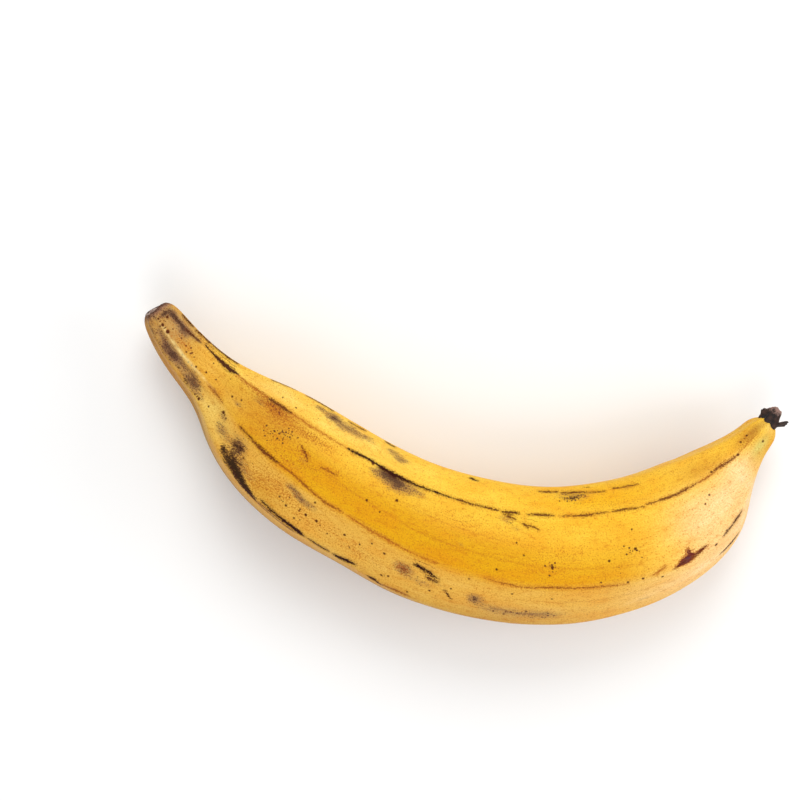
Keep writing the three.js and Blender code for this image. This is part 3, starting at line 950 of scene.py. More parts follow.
    rusts: tuple[Blot, ...] = (
        (0.464, 2.4, 3.0, 2.2, 0.5), (0.802, 1.99, 2.4, 1.9, 1.5), (0.808, 1.86, 1.1, 1.7, 0.85),
        (0.793, 2.03, 2.0, 0.9, 0.9), (0.82, 1.97, 2.6, 0.8, 0.9), (0.69, 1.0, 5.0, 1.0, 0.3),
        (0.84, 1.0, 6.0, 1.0, 0.36), (0.914, 0.95, 4.0, 1.4, 0.42), (0.21, 1.08, 9.0, 1.3, 0.36),
        (0.16, 1.03, 6.0, 0.9, 0.34), (0.242, 1.98, 5.0, 1.0, 0.36), (0.283, 1.5, 4.0, 1.4, 0.55),
        (0.3, 1.66, 6.0, 1.2, 0.32), (0.335, 1.46, 6.0, 1.2, 0.26), (0.225, 1.62, 7.0, 2.6, 0.22),
        (0.43, 1.98, 5.0, 1.4, 0.3), (0.037, 1.92, 1.3, 0.7, 0.7), (0.065, 1.6, 6.0, 2.0, 0.28),
        (0.958, 0.7, 5.0, 1.4, 0.24), (0.055, 3.4, 7.0, 1.6, 0.45), (0.74, 0.75, 9.0, 1.4, 0.24),
        (0.216, 1.16, 8.0, 1.8, 0.36), (0.225, 1.3, 7.0, 2.6, 0.28), (0.268, 1.2, 6.0, 2.0, 0.34),
        (0.3, 1.16, 7.0, 2.2, 0.32), (0.27, 1.8, 7.0, 2.0, 0.32), (0.34, 2.55, 10.0, 4.0, 0.25),
        (0.41, 2.6, 9.0, 3.5, 0.25), (0.285, 2.35, 8.0, 3.0, 0.3), (0.52, 1.3, 9.0, 2.0, 0.22),
        (0.655, 1.55, 9.0, 2.4, 0.2), (0.252, 2.62, 8.0, 4.0, 0.3),
    )
    fleck_patches: tuple[Blot, ...] = (
        (0.238, 1.6, 5.4, 3.4, 1.1), (0.252, 1.38, 3.6, 2.4, 0.9), (0.641, 1.7, 2.8, 2.6, 1.1),
        (0.746, 1.58, 4.8, 2.4, 1.0), (0.676, 0.42, 8.0, 3.0, 1.0), (0.61, 2.68, 14.0, 2.2, 0.9),
        (0.48, 2.5, 8.0, 3.0, 0.4), (0.055, 1.9, 15.0, 7.0, 0.7), (0.3, 2.6, 22.0, 5.0, 0.4),
        (0.14, 1.4, 9.0, 5.0, 0.3), (0.84, 2.2, 9.0, 5.0, 0.35), (0.7, 1.9, 20.0, 5.0, 0.38),
        (0.28, 0.6, 16.0, 4.0, 0.28), (0.26, 4.5, 20.0, 9.0, 0.25), (0.62, 5.2, 16.0, 5.0, 0.45),
        (0.48, 4.2, 9.0, 4.0, 0.5),
    )
    # painted highlight along ridge 2 in the neck
    ridge_highlights: tuple[Blot, ...] = (
        (0.034, 2.01, 4.0, 0.6, 0.35), (0.06, 1.98, 6.0, 0.6, 0.6), (0.09, 1.97, 6.0, 0.6, 0.6),
        (0.112, 1.95, 4.0, 0.45, 0.5),
    )
    # single dark dots: share, ridge, radius
    dots: tuple[tuple[float, float, float], ...] = (
        (0.168, 2.16, 0.55), (0.014, 2.0, 0.4), (0.025, 1.96, 0.62), (0.037, 1.92, 0.7), (0.02, 1.52, 0.5),
        (0.007, 2.33, 0.3), (0.131, 2.84, 0.5), (0.098, 1.88, 0.35), (0.113, 1.72, 0.3),
        (0.16, 1.62, 0.35), (0.172, 1.5, 0.3), (0.123, 2.9, 0.3), (0.148, 2.6, 0.3), (0.176, 2.2, 0.3),
        (0.226, 2.5, 0.3), (0.302, 2.62, 0.42), (0.328, 2.52, 0.42), (0.343, 2.5, 0.45),
        (0.33, 2.15, 0.35), (0.382, 2.42, 0.42), (0.405, 2.42, 0.3), (0.29, 2.55, 0.3), (0.318, 2.75, 0.3),
        (0.362, 2.62, 0.25), (0.395, 2.62, 0.25), (0.418, 2.25, 0.25), (0.452, 2.72, 0.3),
        (0.5, 2.62, 0.3), (0.437, 2.3, 0.35), (0.421, 1.38, 0.42), (0.386, 1.62, 0.4), (0.408, 1.68, 0.25),
        (0.445, 2.78, 0.35), (0.371, 1.02, 0.45), (0.572, 1.84, 0.35), (0.541, 2.1, 0.25),
        (0.593, 1.42, 0.25), (0.604, 1.58, 0.28), (0.523, 2.42, 0.3), (0.713, 1.66, 0.4),
        (0.752, 1.28, 0.3), (0.73, 2.02, 0.35), (0.748, 2.02, 0.4), (0.77, 2.14, 0.38),
        (0.595, 2.22, 0.25), (0.641, 2.25, 0.25), (0.838, 2.08, 0.5), (0.87, 1.3, 0.35),
        (0.858, 1.38, 0.3), (0.938, 1.02, 0.5), (0.896, 0.93, 0.4), (0.641, 1.71, 0.5),
        (0.749, 1.56, 0.45), (0.478, 2.86, 0.3), (0.975, 1.45, 0.4), (0.954, 0.52, 0.35),
        (0.966, 0.42, 0.3), (0.21, 0.62, 0.25), (0.235, 0.72, 0.3),
    )
    washes: tuple[Wash, ...] = (
        # the tanned neck and the rosy lip of the cut
        Wash(Tone.TAN, 0.03, 1.5, 0.05, 1.2, 0.85), Wash(Tone.TAN, 0.06, 2.6, 0.05, 0.55, 0.85),
        Wash(Tone.AMBER, 0.05, 3.6, 0.06, 0.7, 0.8), Wash(Tone.TAN, 0.04, 0.5, 0.05, 0.8, 0.8),
        Wash(Tone.TAN, 0.03, 4.9, 0.06, 1.2, 0.7), Wash(Tone.ROSY, 0.0, 1.4, 0.006, 1.6, 1.0),
        # the first shoulder
        Wash(Tone.DULL_GOLD, 0.11, 1.4, 0.035, 0.6, 0.7), Wash(Tone.STRAW, 0.155, 2.5, 0.035, 0.5, 0.9),
        Wash(Tone.STRAW, 0.19, 0.5, 0.06, 0.5, 0.9), Wash(Tone.STRAW, 0.32, 0.5, 0.1, 0.5, 0.7),
        Wash(Tone.AMBER, 0.22, 1.15, 0.05, 0.22, 0.85), Wash(Tone.AMBER, 0.23, 1.5, 0.05, 0.4, 0.75),
        Wash(Tone.DULL_GOLD, 0.165, 1.6, 0.03, 0.4, 0.6), Wash(Tone.AMBER, 0.27, 2.7, 0.03, 0.3, 0.6),
        # the middle
        Wash(Tone.GOLD, 0.35, 1.25, 0.06, 0.22, 0.6), Wash(Tone.DEEP_GOLD, 0.3, 1.72, 0.06, 0.3, 0.9),
        Wash(Tone.DEEP_GOLD, 0.43, 1.7, 0.1, 0.32, 0.9), Wash(Tone.DEEP_GOLD, 0.58, 1.78, 0.09, 0.28, 0.8),
        Wash(Tone.GOLD, 0.55, 1.2, 0.12, 0.28, 0.7), Wash(Tone.GOLD, 0.7, 1.25, 0.08, 0.4, 0.8),
        Wash(Tone.WARM_GOLD, 0.72, 0.55, 0.13, 0.5, 0.85), Wash(Tone.TAN, 0.6, 2.75, 0.06, 0.25, 0.5),
        # painted shade: a darker band along the lower edge of the middle
        Wash(Tone.BROWN, 0.56, 3.3, 0.14, 0.35, 0.75),
        # the pale second shoulder: cream peel, partly a painted sheen where the light from the right falls
        Wash(Tone.LIGHT_GOLD, 0.79, 1.7, 0.04, 0.5, 0.7), Wash(Tone.CREAM_AND_SHEEN, 0.86, 1.6, 0.055, 0.5, 0.95),
        Wash(Tone.CREAM_AND_SHEEN, 0.85, 2.55, 0.09, 0.5, 0.95), Wash(Tone.CREAM_AND_SHEEN, 0.91, 2.5, 0.035, 0.7, 0.95),
        Wash(Tone.CREAM_AND_SHEEN, 0.925, 1.4, 0.03, 0.4, 0.85),
        # the tip
        Wash(Tone.AMBER, 0.89, 0.6, 0.04, 0.4, 0.7), Wash(Tone.BRONZE, 0.975, 0.5, 0.03, 0.42, 0.95),
        Wash(Tone.GREENISH, 0.968, 1.5, 0.022, 0.35, 0.95), Wash(Tone.STRAW, 0.995, 1.4, 0.008, 0.7, 0.8),
        # the underside
        Wash(Tone.DULL_GOLD, 0.97, 4.0, 0.04, 1.2, 0.7), Wash(Tone.DULL_GOLD, 0.86, 4.5, 0.08, 1.3, 0.6),
        Wash(Tone.GREENISH, 0.175, 4.5, 0.04, 1.0, 0.4),
    )
    # the tone round the body, from ridge to ridge; the darker bronze round the lower edge, from ridge 3.5 to
    # 4.2, is partly painted shade
    round_tones: tuple[tuple[float, Tone], ...] = (
        (0.0, Tone.GOLD), (0.5, Tone.LIGHT_GOLD), (0.93, Tone.LIGHT_GOLD), (1.07, Tone.GOLD),
        (1.5, Tone.DEEP_GOLD), (1.93, Tone.DEEP_GOLD), (2.1, Tone.DULL_GOLD), (2.6, Tone.DULL_GOLD),
        (3.1, Tone.DULL_GOLD), (3.5, Tone.BRONZE), (4.2, Tone.BRONZE), (5.0, Tone.DULL_GOLD), (5.6, Tone.GOLD),
    )

    def soft(self, kind: Kind) -> tuple[Blot, ...]:
        """The soft marks of one kind."""
        return {Kind.HAZE: self.hazes, Kind.BRUISE: self.bruises, Kind.RUST: self.rusts,
                Kind.FLECKS: self.fleck_patches, Kind.PALE: self.ridge_highlights}[kind]


@dataclass
class Peel:
    """The peel with the cut face of the stem, one closed surface."""

    form: FruitForm = field(default_factory=FruitForm)
    marks: PeelMarks = field(default_factory=PeelMarks)
    # columns on each face, how far they crowd towards its ridges, and the gap between two rings
    columns: tuple[int, ...] = (28, 46, 36, 28, 26, 28)
    crowding: float = 0.35
    ring_gap: float = 0.62
    end_gap: float = 0.26
    end_reach: float = 5.0
    # relief: broad, middling, and of the fibres on the full body and in the slim ends
    broad_relief: float = 0.28
    middle_relief: float = 0.09
    fibre_relief: float = 0.035
    neck_fibre_relief: float = 0.16
    slim_half_width: float = 8.0
    plump_half_width: float = 19.0
    rest_fade: float = 3.0
    # how deep the marks sink
    line_sink: float = 0.25
    scar_sink: float = 0.25
    haze_sink: float = 0.12
    # the cut face: its rings, how far the slant eases off on one side, how far it sinks and domes
    cut_rings: int = 24
    cut_turn: float = 0.75
    cut_sink: float = 0.6
    cut_dome: float = 0.175
    # its roughness: depth, cells to a millimetre, where in the lattice, seed; and its reach in the map
    cut_rough: tuple[tuple[float, float, float, int], ...] = ((0.22, 1.7, 50.0, 7), (0.25, 0.8, 20.0, 8))
    cut_map: float = 5.5
    # the rings that close the tip, as shares of the last ring, and their reach in the map
    tip_shares: tuple[float, ...] = (0.85, 0.6, 0.3)
    tip_map: float = 3.0
    # values that say that no line or dot is near
    far_away: float = 5.0
    no_mark: float = -6.0

    def __post_init__(self) -> None:
        """Works out where the rings and the columns stand."""
        at, walked = self.form.walk()
        self.total = float(walked[-1])
        places = [0.0]
        while places[-1] < self.total:
            near = min(places[-1], self.total - places[-1])
            step = self.end_gap + (self.ring_gap - self.end_gap) * min(1.0, (near / self.end_reach) ** 2)
            places.append(min(places[-1] + step, self.total))
        self.walked = np.array(places)
        self.at = np.interp(self.walked, walked, at)
        columns = []
        for face, count in enumerate(self.columns):
            share = np.arange(count) / count
            columns.append(face + share - self.crowding * np.sin(math.tau * share) / math.tau)
        self.ridge = np.concatenate(columns)
        self.cut_shares = np.linspace(1, 0, self.cut_rings + 1)[-2:0:-1]

    def skin(self) -> Array:
        """The points of the outer surface before its relief.

        Each ring is the section at its station, scaled by the half width and the half height, shrunk
        near the cut and in the dome, slanted and bulged near the cut, and pressed flat where it would
        go below the table.

        Returns:
            Points in millimetres, ring by column.
        """
        f = self.form
        x, y, half_width, lift = f.place(self.at).T
        along = f.heading(self.at)
        across, up = f.section(self.at, half_width, self.ridge)
        size = 1 - f.cut_rounding * np.exp(-self.walked / f.cut_rounding_length)
        near_tip = np.clip(1 - (self.total - self.walked) / f.dome_length, 0, 1)
        size = size * (1 - f.dome_shrink * near_tip**3)
        half_height = half_width * f.depth_share
        slant = f.cut_slant * np.exp(-self.walked / f.cut_slant_fade)
        eased = 1 - self.cut_turn * np.clip(0.5 + 0.9 * across, 0, 1)
        forward = (slant * half_height * size)[:, None] * up * eased
        forward += f.cut_bulge * np.exp(-self.walked / f.cut_bulge_fade)[:, None] * across**6
        side = (half_width * size)[:, None] * across
        points = np.stack([
            x[:, None] - along[:, 1:] * side + along[:, :1] * forward,
            y[:, None] + along[:, :1] * side + along[:, 1:] * forward,
            (half_height + lift)[:, None] + (half_height * size)[:, None] * up,
        ], -1)
        points[..., 2] = np.maximum(points[..., 2], 0)
        return points - [*f.middle, 0.0]

    def outward(self, points: Array) -> Array:
        """Unit normals of the ringed surface: the cross product of its two difference vectors.

        Args:
            points: the surface, ring by column.

        Returns:
            A normal for each ring and column.
        """
        around = np.roll(points, -1, 1) - np.roll(points, 1, 1)
        normal = np.cross(around, np.gradient(points, axis=0))
        return normal / np.maximum(np.linalg.norm(normal, axis=-1, keepdims=True), 1e-9)

    def relief(self, points: Array) -> Array:
        """How far the surface stands out or sinks, in millimetres.

        Broad dents and swellings, middling unevenness and lengthwise fibres, which are noise stretched
        along the fruit, deeper in the neck and at the tip, fading out where the fruit rests.

        Args:
            points: the surface before its relief.

        Returns:
            The relief for each ring and column.
        """
        turn = self.form.ridge_angles(self.at)
        k = np.floor(self.ridge).astype(int)
        angle = turn[:, k] + (self.ridge - k) * (turn[:, k + 1] - turn[:, k])
        spin = np.stack([np.cos(angle), np.sin(angle)], -1)
        along = np.broadcast_to(self.walked[:, None], angle.shape)

        def unevenness(length: float, cells: float, seed: int) -> Array:
            """Noise with cells of this many millimetres along, and this many to the radius across."""
            return lattice_noise(np.concatenate([along[..., None] / length, spin * cells + 40], -1), seed)

        half_width = self.form.place(self.at)[:, 2]
        plump = (half_width - self.slim_half_width) / (self.plump_half_width - self.slim_half_width)
        slim = 1 - np.clip(plump, 0, 1)[:, None]
        fibre = self.fibre_relief + (self.neck_fibre_relief - self.fibre_relief) * slim
        made = self.broad_relief * (1 - 0.6 * slim) * unevenness(34, 1.3, 1)
        made += self.middle_relief * unevenness(11, 3.0, 2)
        made += fibre * (0.6 * unevenness(30, 9.0, 3) + 0.4 * unevenness(18, 19.0, 4))
        return made * np.clip(points[..., 2] / self.rest_fade, 0, 1)

    def distances(self, points: Array) -> None:
        """Measures the surface round each ring, from ridge 0, for placing marks in millimetres.

        Args:
            points: the surface before its relief.
        """
        closed = np.concatenate([points, points[:, :1]], 1)
        steps = np.linalg.norm(np.diff(closed, axis=1), axis=-1)
        self.around = np.concatenate([np.zeros((len(points), 1)), np.cumsum(steps, 1)], 1)
        self.girth = self.around[:, -1]
        ridge = np.concatenate([self.ridge, [RIDGES]])
        reach = [np.interp(k, ridge, row) for row in self.around for k in range(RIDGES + 1)]
        self.ridge_reach = np.stack(reach).reshape(-1, RIDGES + 1)

    def reach(self, ridge: Array) -> Array:
        """The distance round each ring to a ridge number, straight between two ridges.

        Args:
            ridge: one ridge number for each ring.

        Returns:
            Millimetres, one number for each ring.
        """
        ridge = np.mod(ridge, RIDGES)
        k = np.minimum(np.floor(ridge).astype(int), RIDGES - 1)
        rows = np.arange(len(self.walked))
        low, high = self.ridge_reach[rows, k], self.ridge_reach[rows, k + 1]
        return low + (ridge - k) * (high - low)

    def across(self, ridge: float | Array) -> Array:
        """Signed distance round each ring from a ridge number to every column, the short way round.

        Args:
            ridge: a ridge number, or one for each ring.

        Returns:
            Millimetres, ring by column.
        """
        gap = self.around[:, :-1] - self.reach(np.broadcast_to(ridge, self.walked.shape))[:, None]
        girth = self.girth[:, None]
        return np.mod(gap + girth / 2, girth) - girth / 2

    def soft_marks(self) -> dict[Kind, Array]:
        """How strong each kind of soft mark is: the sum of its marks, each a bell along times one across.

        Returns:
            For each kind a value for each ring and column.
        """
        fields = {}
        for kind in Kind:
            fields[kind] = np.zeros(self.around[:, :-1].shape)
            for share, ridge, length, width, strength in self.marks.soft(kind):
                along = bell((self.walked - share * self.total)[:, None], length)
                fields[kind] += strength * along * bell(self.across(ridge), width)
        return fields

    def crisp_strokes(self) -> Array:
        """For every point: the signed distance to the nearest stroke, its half width, and its tone.

        The distance is straight across the stroke, so it stays exact between points, and the half
        width drops far below nothing away from the stroke, so that none shows there.

        Returns:
            Ring by column by three.
        """
        reach, past_end, taper = 2.4, 1.5, 0.8
        found = np.zeros(self.around[:, :-1].shape + (3,))
        found[..., 0], found[..., 1] = self.far_away, self.no_mark
        best = np.full(found.shape[:2], np.inf)
        where = self.walked / self.total
        for stroke in self.marks.strokes:
            share, ridge, half = np.array(stroke.points).T
            gap = self.across(np.interp(where, share, ridge))
            past = np.maximum(np.maximum(share[0] - where, where - share[-1]), 0) * self.total
            width = (np.interp(where, share, half) - taper * past)[:, None]
            score = np.abs(gap) - width
            near = (np.abs(gap) < np.maximum(width, 0) + reach) & (past < past_end)[:, None] & (score < best)
            best = np.where(near, score, best)
            for part, value in enumerate((gap, width, stroke.tone)):
                found[..., part] = np.where(near, value, found[..., part])
        return found

    def crisp_dots(self) -> Array:
        """For every point: the two distances to the nearest dot's middle, and the dot's radius.

        Returns:
            Ring by column by three.
        """
        reach = 1.9
        found = np.zeros(self.around[:, :-1].shape + (3,))
        found[..., 0], found[..., 2] = self.far_away, self.no_mark
        best = np.full(found.shape[:2], reach)
        for share, ridge, radius in self.marks.dots:
            along, across = (self.walked - share * self.total)[:, None], self.across(ridge)
            near = np.hypot(along, across) < best
            best = np.where(near, np.hypot(along, across), best)
            for part, value in enumerate((along, across, radius)):
                found[..., part] = np.where(near, value, found[..., part])
        return found

    def tints(self) -> Array:
        """The peel's ground colour: a ring of colours from ridge to ridge, then soft washes over it.

        Returns:
            Linear colours, ring by column by three.
        """
        m = self.marks
        ridges = np.array([ridge for ridge, _ in m.round_tones] + [RIDGES])
        colours = np.array([linear(tone.value) for _, tone in m.round_tones + m.round_tones[:1]])
        ring = np.stack([np.interp(self.ridge, ridges, colours[:, k]) for k in range(3)], -1)
        made = np.broadcast_to(ring, (len(self.walked),) + ring.shape).copy()
        where = (self.walked / self.total)[:, None]
        for wash in m.washes:
            away = np.mod(self.ridge - wash.ridge + RIDGES / 2, RIDGES) - RIDGES / 2
            share = wash.strength * bell(where - wash.share, wash.share_spread) * bell(away, wash.ridge_spread)
            made += share[..., None] * (np.array(linear(wash.tone.value)) - made)
        return made

    def raised(self, points: Array, strokes: Array, soft: dict[Kind, Array]) -> Array:
        """The surface moved out by its relief and in where lines, scars and hazes have sunk it.

        Args:
            points: the surface before its relief.
            strokes: what crisp_strokes found.
            soft: what soft_marks found.

        Returns:
            The points, kept on or above the table.
        """
        groove = np.clip(strokes[..., 1] - np.abs(strokes[..., 0]) + 0.3, 0, 0.5)
        sunk = self.line_sink * groove + self.scar_sink * np.clip(soft[Kind.RUST], 0, 1)
        sunk += self.haze_sink * np.clip(soft[Kind.HAZE], 0, 1)
        made = points + self.outward(points) * (self.relief(points) - sunk)[..., None]
        made[..., 2] = np.where(points[..., 2] <= 0, 0, np.maximum(made[..., 2], 0))
        return made

    def cut_face(self, rim: Array) -> Array:
        """The cut face: the rim's outline drawn in to the middle, sunk, slightly domed and fibrous.

        Args:
            rim: the first ring of the skin.

        Returns:
            Its rings from the middle outwards, in millimetres.
        """
        share = self.cut_shares[:, None]
        centre = rim.mean(0)
        face = centre + (rim - centre) * share[..., None]
        rough = np.zeros(face.shape[:2])
        for depth, cells, start, seed in self.cut_rough:
            rough += depth * lattice_noise(face * cells + start, seed)
        sunk = rough * (1 - share**6) + self.cut_sink * (1 - share**5)
        sunk = sunk - self.cut_dome * np.sin(math.pi * share**3)
        heading = np.array([*self.form.heading(self.at[:1])[0], 0.0])
        return face + heading * sunk[..., None]

    def padded(self, values: Array) -> Array:
        """Ring values carried on over the cut face and the rings that close the tip."""
        start = np.repeat(values[:1], len(self.cut_shares), 0)
        return np.concatenate([start, values, np.repeat(values[-1:], len(self.tip_shares), 0)])

    def add_maps(self, grid: SurfaceGrid) -> None:
        """Adds the two maps: wrap, which fills the unit square, and grain, which is in millimetres.

        Args:
            grid: the piece's mesh.
        """
        tip = self.total + self.tip_map * (1 - np.array(self.tip_shares))
        walked = np.concatenate([-self.cut_map * (1 - self.cut_shares), self.walked, tip])
        around = self.padded(self.around)
        along = np.repeat(walked[:, None], around.shape[1], 1)
        u = (along - walked[0]) / (walked[-1] - walked[0])
        v = around / self.padded(self.girth)[:, None]
        grid.map_uv("wrap", inset(u), inset(v), (0.0, 1.0))
        from_ridge = self.padded(self.reach(np.full(len(self.walked), 1.0)))[:, None]
        grid.map_uv("grain", along, around - from_ridge, (walked[0], walked[-1]))
        grid.mesh.uv_layers.active = grid.mesh.uv_layers["wrap"]

    def build(self, peel: bpy.types.Material, cut: bpy.types.Material) -> bpy.types.Object:
        """Builds the piece.

        Args:
            peel: the material of the skin.
            cut: the material of the cut face.

        Returns:
            The finished object.
        """
        points = self.skin()
        self.distances(points)
        strokes, soft = self.crisp_strokes(), self.soft_marks()
        skin = self.raised(points, strokes, soft)
        face = self.cut_face(skin[0])
        centre = skin[-1].mean(0)
        tip = centre + (skin[-1] - centre) * np.array(self.tip_shares)[:, None, None]
        body = np.concatenate([face, skin, tip])
        grid = SurfaceGrid("plantain_peel")
        grid.tube(body, face[0].mean(0), centre)
        self.add_maps(grid)
        grid.paint("tint", self.padded(self.tints()))
        for kind, values in soft.items():
            grid.attribute(kind.value, self.padded(values))
        grid.attribute("stroke", self.padded(strokes))
        grid.attribute("dot", self.padded(self.crisp_dots()))
        from_middle = np.concatenate([self.cut_shares, np.ones(len(skin) + len(tip))])
        grid.attribute("rim", np.repeat(from_middle[:, None], len(self.ridge), 1))
        on_cut = np.arange(len(body) - 1) < len(face)
        return grid.piece([peel, cut], on_cut.astype(int))


@dataclass
class FlowerStub:
    """The withered flower on the dome: a torn dry cup that flares outwards."""

    form: FruitForm = field(default_factory=FruitForm)
    # distance from the dome, radius, and how much the torn rim counts there
    profile: tuple[tuple[float, float, float], ...] = (
        (-1.8, 2.6, 0.0), (-1.0, 3.3, 0.0), (-0.3, 3.45, 0.0), (0.5, 3.3, 0.05), (1.2, 3.6, 0.35),
        (1.7, 3.95, 0.75), (2.0, 4.05, 1.0), (1.95, 3.6, 1.0), (1.6, 3.0, 0.75), (1.2, 2.3, 0.4),
        (0.9, 1.5, 0.12), (0.8, 0.7, 0.0),
    )
    # angle in degrees, height of the torn rim there, and how far it leans out
    rim_points: tuple[tuple[float, float, float], ...] = (
        (0, 0.2, 0.3), (14, 1.3, 0.1), (30, 2.4, -0.1), (50, 3.4, -0.1), (68, 3.8, 0.0), (90, 3.8, 0.0),
        (104, 3.5, 0.2), (112, 2.8, 0.3), (118, 1.4, 0.3), (124, 0.2, 0.2), (131, 0.2, 0.3), (139, 1.6, 0.9),
        (149, 2.6, 1.4), (160, 2.8, 1.7), (172, 2.2, 1.9), (184, 1.3, 2.1), (198, 0.7, 2.0), (212, 0.5, 1.5),
        (240, 0.4, 0.3), (270, 0.8, 0.0), (300, 1.0, 0.0), (330, 0.4, 0.1), (360, 0.2, 0.3),
    )
    rim_blur: float = 4.0
    lobes: int = 5
    lobe_depth: float = 0.06
    lean_power: float = 0.7
    # fine jags of the rim: height, cells to a radian, the two other lattice coordinates, seed
    jags: tuple[tuple[float, float, float, float, int], ...] = (
        (0.16, 5.1, 3.3, 7.7, 12), (0.14, 11.1, 5.3, 1.7, 13),
    )
    # wrinkles as a share of the radius, then in millimetres: depth, cells round, rows to a cell, seed
    folds: tuple[tuple[float, float, float, int], ...] = ((0.05, 6.0, 5.0, 14), (0.04, 14.0, 4.0, 15))
    side_wrinkle: tuple[float, float, float, int] = (0.10, 5.0, 1.3, 16)
    rim_wrinkle: tuple[float, float, float, int] = (0.15, 4.0, 1.6, 17)
    # bare torn husk, with a painted highlight on the side that faces mostly up: which way it faces in radians,
    # how wide it spreads, how strong there and all round
    highlight_facing: float = 1.2
    highlight_spread: float = 0.9
    highlight_there: float = 0.8
    bare_round: float = 0.35
    rows: int = 84
    sides: int = 180

    def rim(self, angle: Array) -> tuple[Array, Array]:
        """The torn rim's height and lean round the stub: its points joined by lines, then blurred.

        Args:
            angle: where round the stub, in radians.

        Returns:
            Two values for each angle, in millimetres.
        """
        turn, height, lean = np.array(self.rim_points).T
        degrees = np.degrees(np.mod(angle, math.tau))
        fine = np.arange(0, 360, 1.0)
        margin = 9
        kernel = bell(np.arange(-margin, margin + 1), self.rim_blur)
        kernel /= kernel.sum()
        found = []
        for values in (height, lean):
            row = np.interp(fine, turn, values)
            smooth = np.convolve(np.concatenate([row[-margin:], row, row[:margin]]), kernel, "valid")
            found.append(np.interp(degrees, np.append(fine, 360), np.append(smooth, smooth[0])))
        return found[0], found[1]

    def build(self, husk: bpy.types.Material) -> bpy.types.Object:
        """Builds the piece: the profile turned round the end of the fruit, lobed, wrinkled and torn.

        Args:
            husk: its material.

        Returns:
            The finished object.
        """
        end = np.array([len(self.form.stations) - 1.0])
        x, y, half_width, lift = self.form.place(end)[0]
        along = self.form.heading(end)[0]
        angle = np.arange(self.sides) / self.sides * math.tau
        step = np.linspace(0, len(self.profile) - 1, self.rows)
        out, radius, torn = (column[:, None] for column in blend(np.array(self.profile), step).T)
        ring = np.stack([np.cos(angle), np.sin(angle)], -1)

        def wrinkle(depth: float, cells: float, run: float, seed: int) -> Array:
            """Noise round the stub that changes slowly from root to rim."""
            flat = np.broadcast_to((step / run)[:, None, None], (self.rows, self.sides, 1))
            spin = np.broadcast_to(ring * cells + 30, (self.rows, self.sides, 2))
            return depth * lattice_noise(np.concatenate([flat, spin], -1), seed)

        height, lean = self.rim(angle)
        for depth, cells, second, third, seed in self.jags:
            line = np.stack([angle * cells, np.full_like(angle, second), np.full_like(angle, third)], -1)
            height = height + depth * lattice_noise(line, seed)
        wide = radius * (1 + self.lobe_depth * np.cos(self.lobes * angle)) + lean * torn**self.lean_power
        wide = wide * (1 + sum(wrinkle(*fold) for fold in self.folds)) + wrinkle(*self.side_wrinkle)
        forward = out + torn * height + wrinkle(*self.rim_wrinkle) * torn
        side, up = wide * np.cos(angle), wide * np.sin(angle)
        points = np.stack([
            x - along[1] * side + along[0] * forward,
            y + along[0] * side + along[1] * forward,
            half_width * self.form.depth_share + lift + up,
        ], -1) - [*self.form.middle, 0.0]
        grid = SurfaceGrid("flower_stub")
        grid.tube(points, points[0].mean(0), points[-1].mean(0))
        u = np.repeat((step / step[-1])[:, None], self.sides + 1, 1)
        v = np.broadcast_to(np.arange(self.sides + 1) / self.sides, u.shape)
        grid.map_uv("wrap", inset(u), v, (0.0, 1.0))
        # painted highlight on the torn rim where it faces mostly up, over a pale torn edge all round
        turned = angle - self.highlight_facing
        away = np.arctan2(np.sin(turned), np.cos(turned))
        bare_and_highlight = self.highlight_there * torn * bell(away, self.highlight_spread) + self.bare_round * torn**3
        grid.attribute("bare_and_highlight", bare_and_highlight)
        return grid.piece([husk])


@dataclass(frozen=True)
class SoftBox:
    """One square studio light: where it stands in metres, its size and its power."""

    name: str
    place: tuple[float, float, float]
    size: float
    power: float
    colour: Rgb = (1.0, 1.0, 1.0)

    def build(self) -> None:
        """Adds the light, turned towards the middle of the table."""
        data = bpy.data.lights.new(self.name, "AREA")
        data.shape = "SQUARE"
        data.size = self.size
        data.energy = self.power
        data.color = self.colour
        lamp = bpy.data.objects.new(self.name, data)
        x, y, z = self.place
        lamp.location = self.place
        lamp.rotation_euler = (math.atan2(math.hypot(x, y), z), 0.0, math.atan2(x, -y))
        bpy.context.scene.collection.objects.link(lamp)


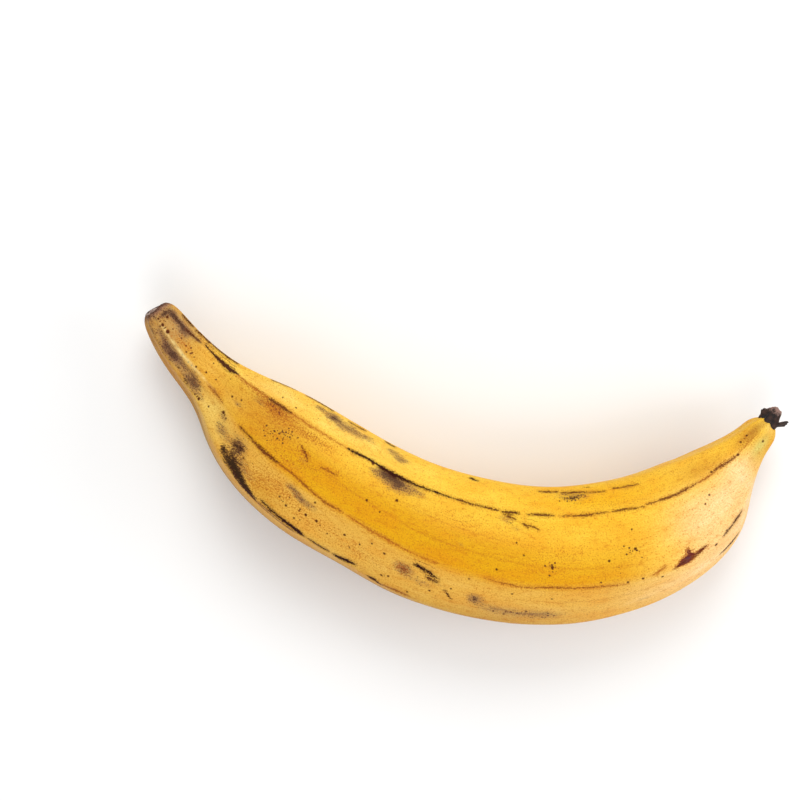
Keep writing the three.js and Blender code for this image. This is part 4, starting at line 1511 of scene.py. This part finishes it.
@dataclass(frozen=True)
class Studio:
    """The pale table, the soft lights and the camera that looks straight down, in metres."""

    lens: float = 100.0
    sensor: float = 36.0
    camera_height: float = 0.7978
    camera_x: float = -0.01999
    camera_y: float = 0.02488
    roll: float = 10.0
    surround: float = 0.48
    table_reach: float = 2.5
    boxes: tuple[SoftBox, ...] = (
        SoftBox("key_box", (-0.1, 0.8, 0.85), 0.7, 6.2, (1.0, 0.99, 0.97)),
        SoftBox("right_box", (0.9, 0.1, 0.42), 0.5, 3.0, (1.0, 0.985, 0.96)),
        SoftBox("fill_box", (0.2, -0.8, 0.8), 0.8, 4.6, (0.98, 0.99, 1.0)),
        SoftBox("top_box", (0.1, 0.1, 1.3), 1.0, 2.6, (1.0, 1.0, 1.0)),
    )

    def build(self) -> None:
        """Makes the camera, the lights, the even surround and the table."""
        scene = bpy.context.scene
        scene.view_settings.view_transform = "Standard"
        data = bpy.data.cameras.new("camera")
        data.lens = self.lens
        data.sensor_width = self.sensor
        data.clip_start, data.clip_end = 0.01, 20.0
        camera = bpy.data.objects.new("camera", data)
        camera.location = (self.camera_x, self.camera_y, self.camera_height)
        camera.rotation_euler = (0.0, 0.0, math.radians(self.roll))
        scene.collection.objects.link(camera)
        scene.camera = camera
        for box in self.boxes:
            box.build()
        world = bpy.data.worlds.new("surround")
        world.use_nodes = True
        background = world.node_tree.nodes["Background"]
        background.inputs["Color"].default_value = (1.0, 1.0, 1.0, 1.0)
        background.inputs["Strength"].default_value = self.surround
        scene.world = world
        r = self.table_reach
        corners = [(-r, -r, 0.0), (r, -r, 0.0), (r, r, 0.0), (-r, r, 0.0)]
        mesh = bpy.data.meshes.new("table")
        mesh.from_pydata(corners, [], [(0, 1, 2, 3)])
        mesh.materials.append(FloorFinish().build())
        table = bpy.data.objects.new("table", mesh)
        scene.collection.objects.link(table)


def main() -> None:
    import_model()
    Studio().build()
    log.info("studio ready")
    peel = Peel().build(PeelFinish().build(), CutFinish().build())
    stub = FlowerStub().build(HuskFinish().build())
    for piece in (peel, stub):
        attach(piece, "root")
        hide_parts("plantain")
        log.info("%s: %d faces", piece.name, len(piece.data.polygons))


if __name__ == "__main__":
    main()
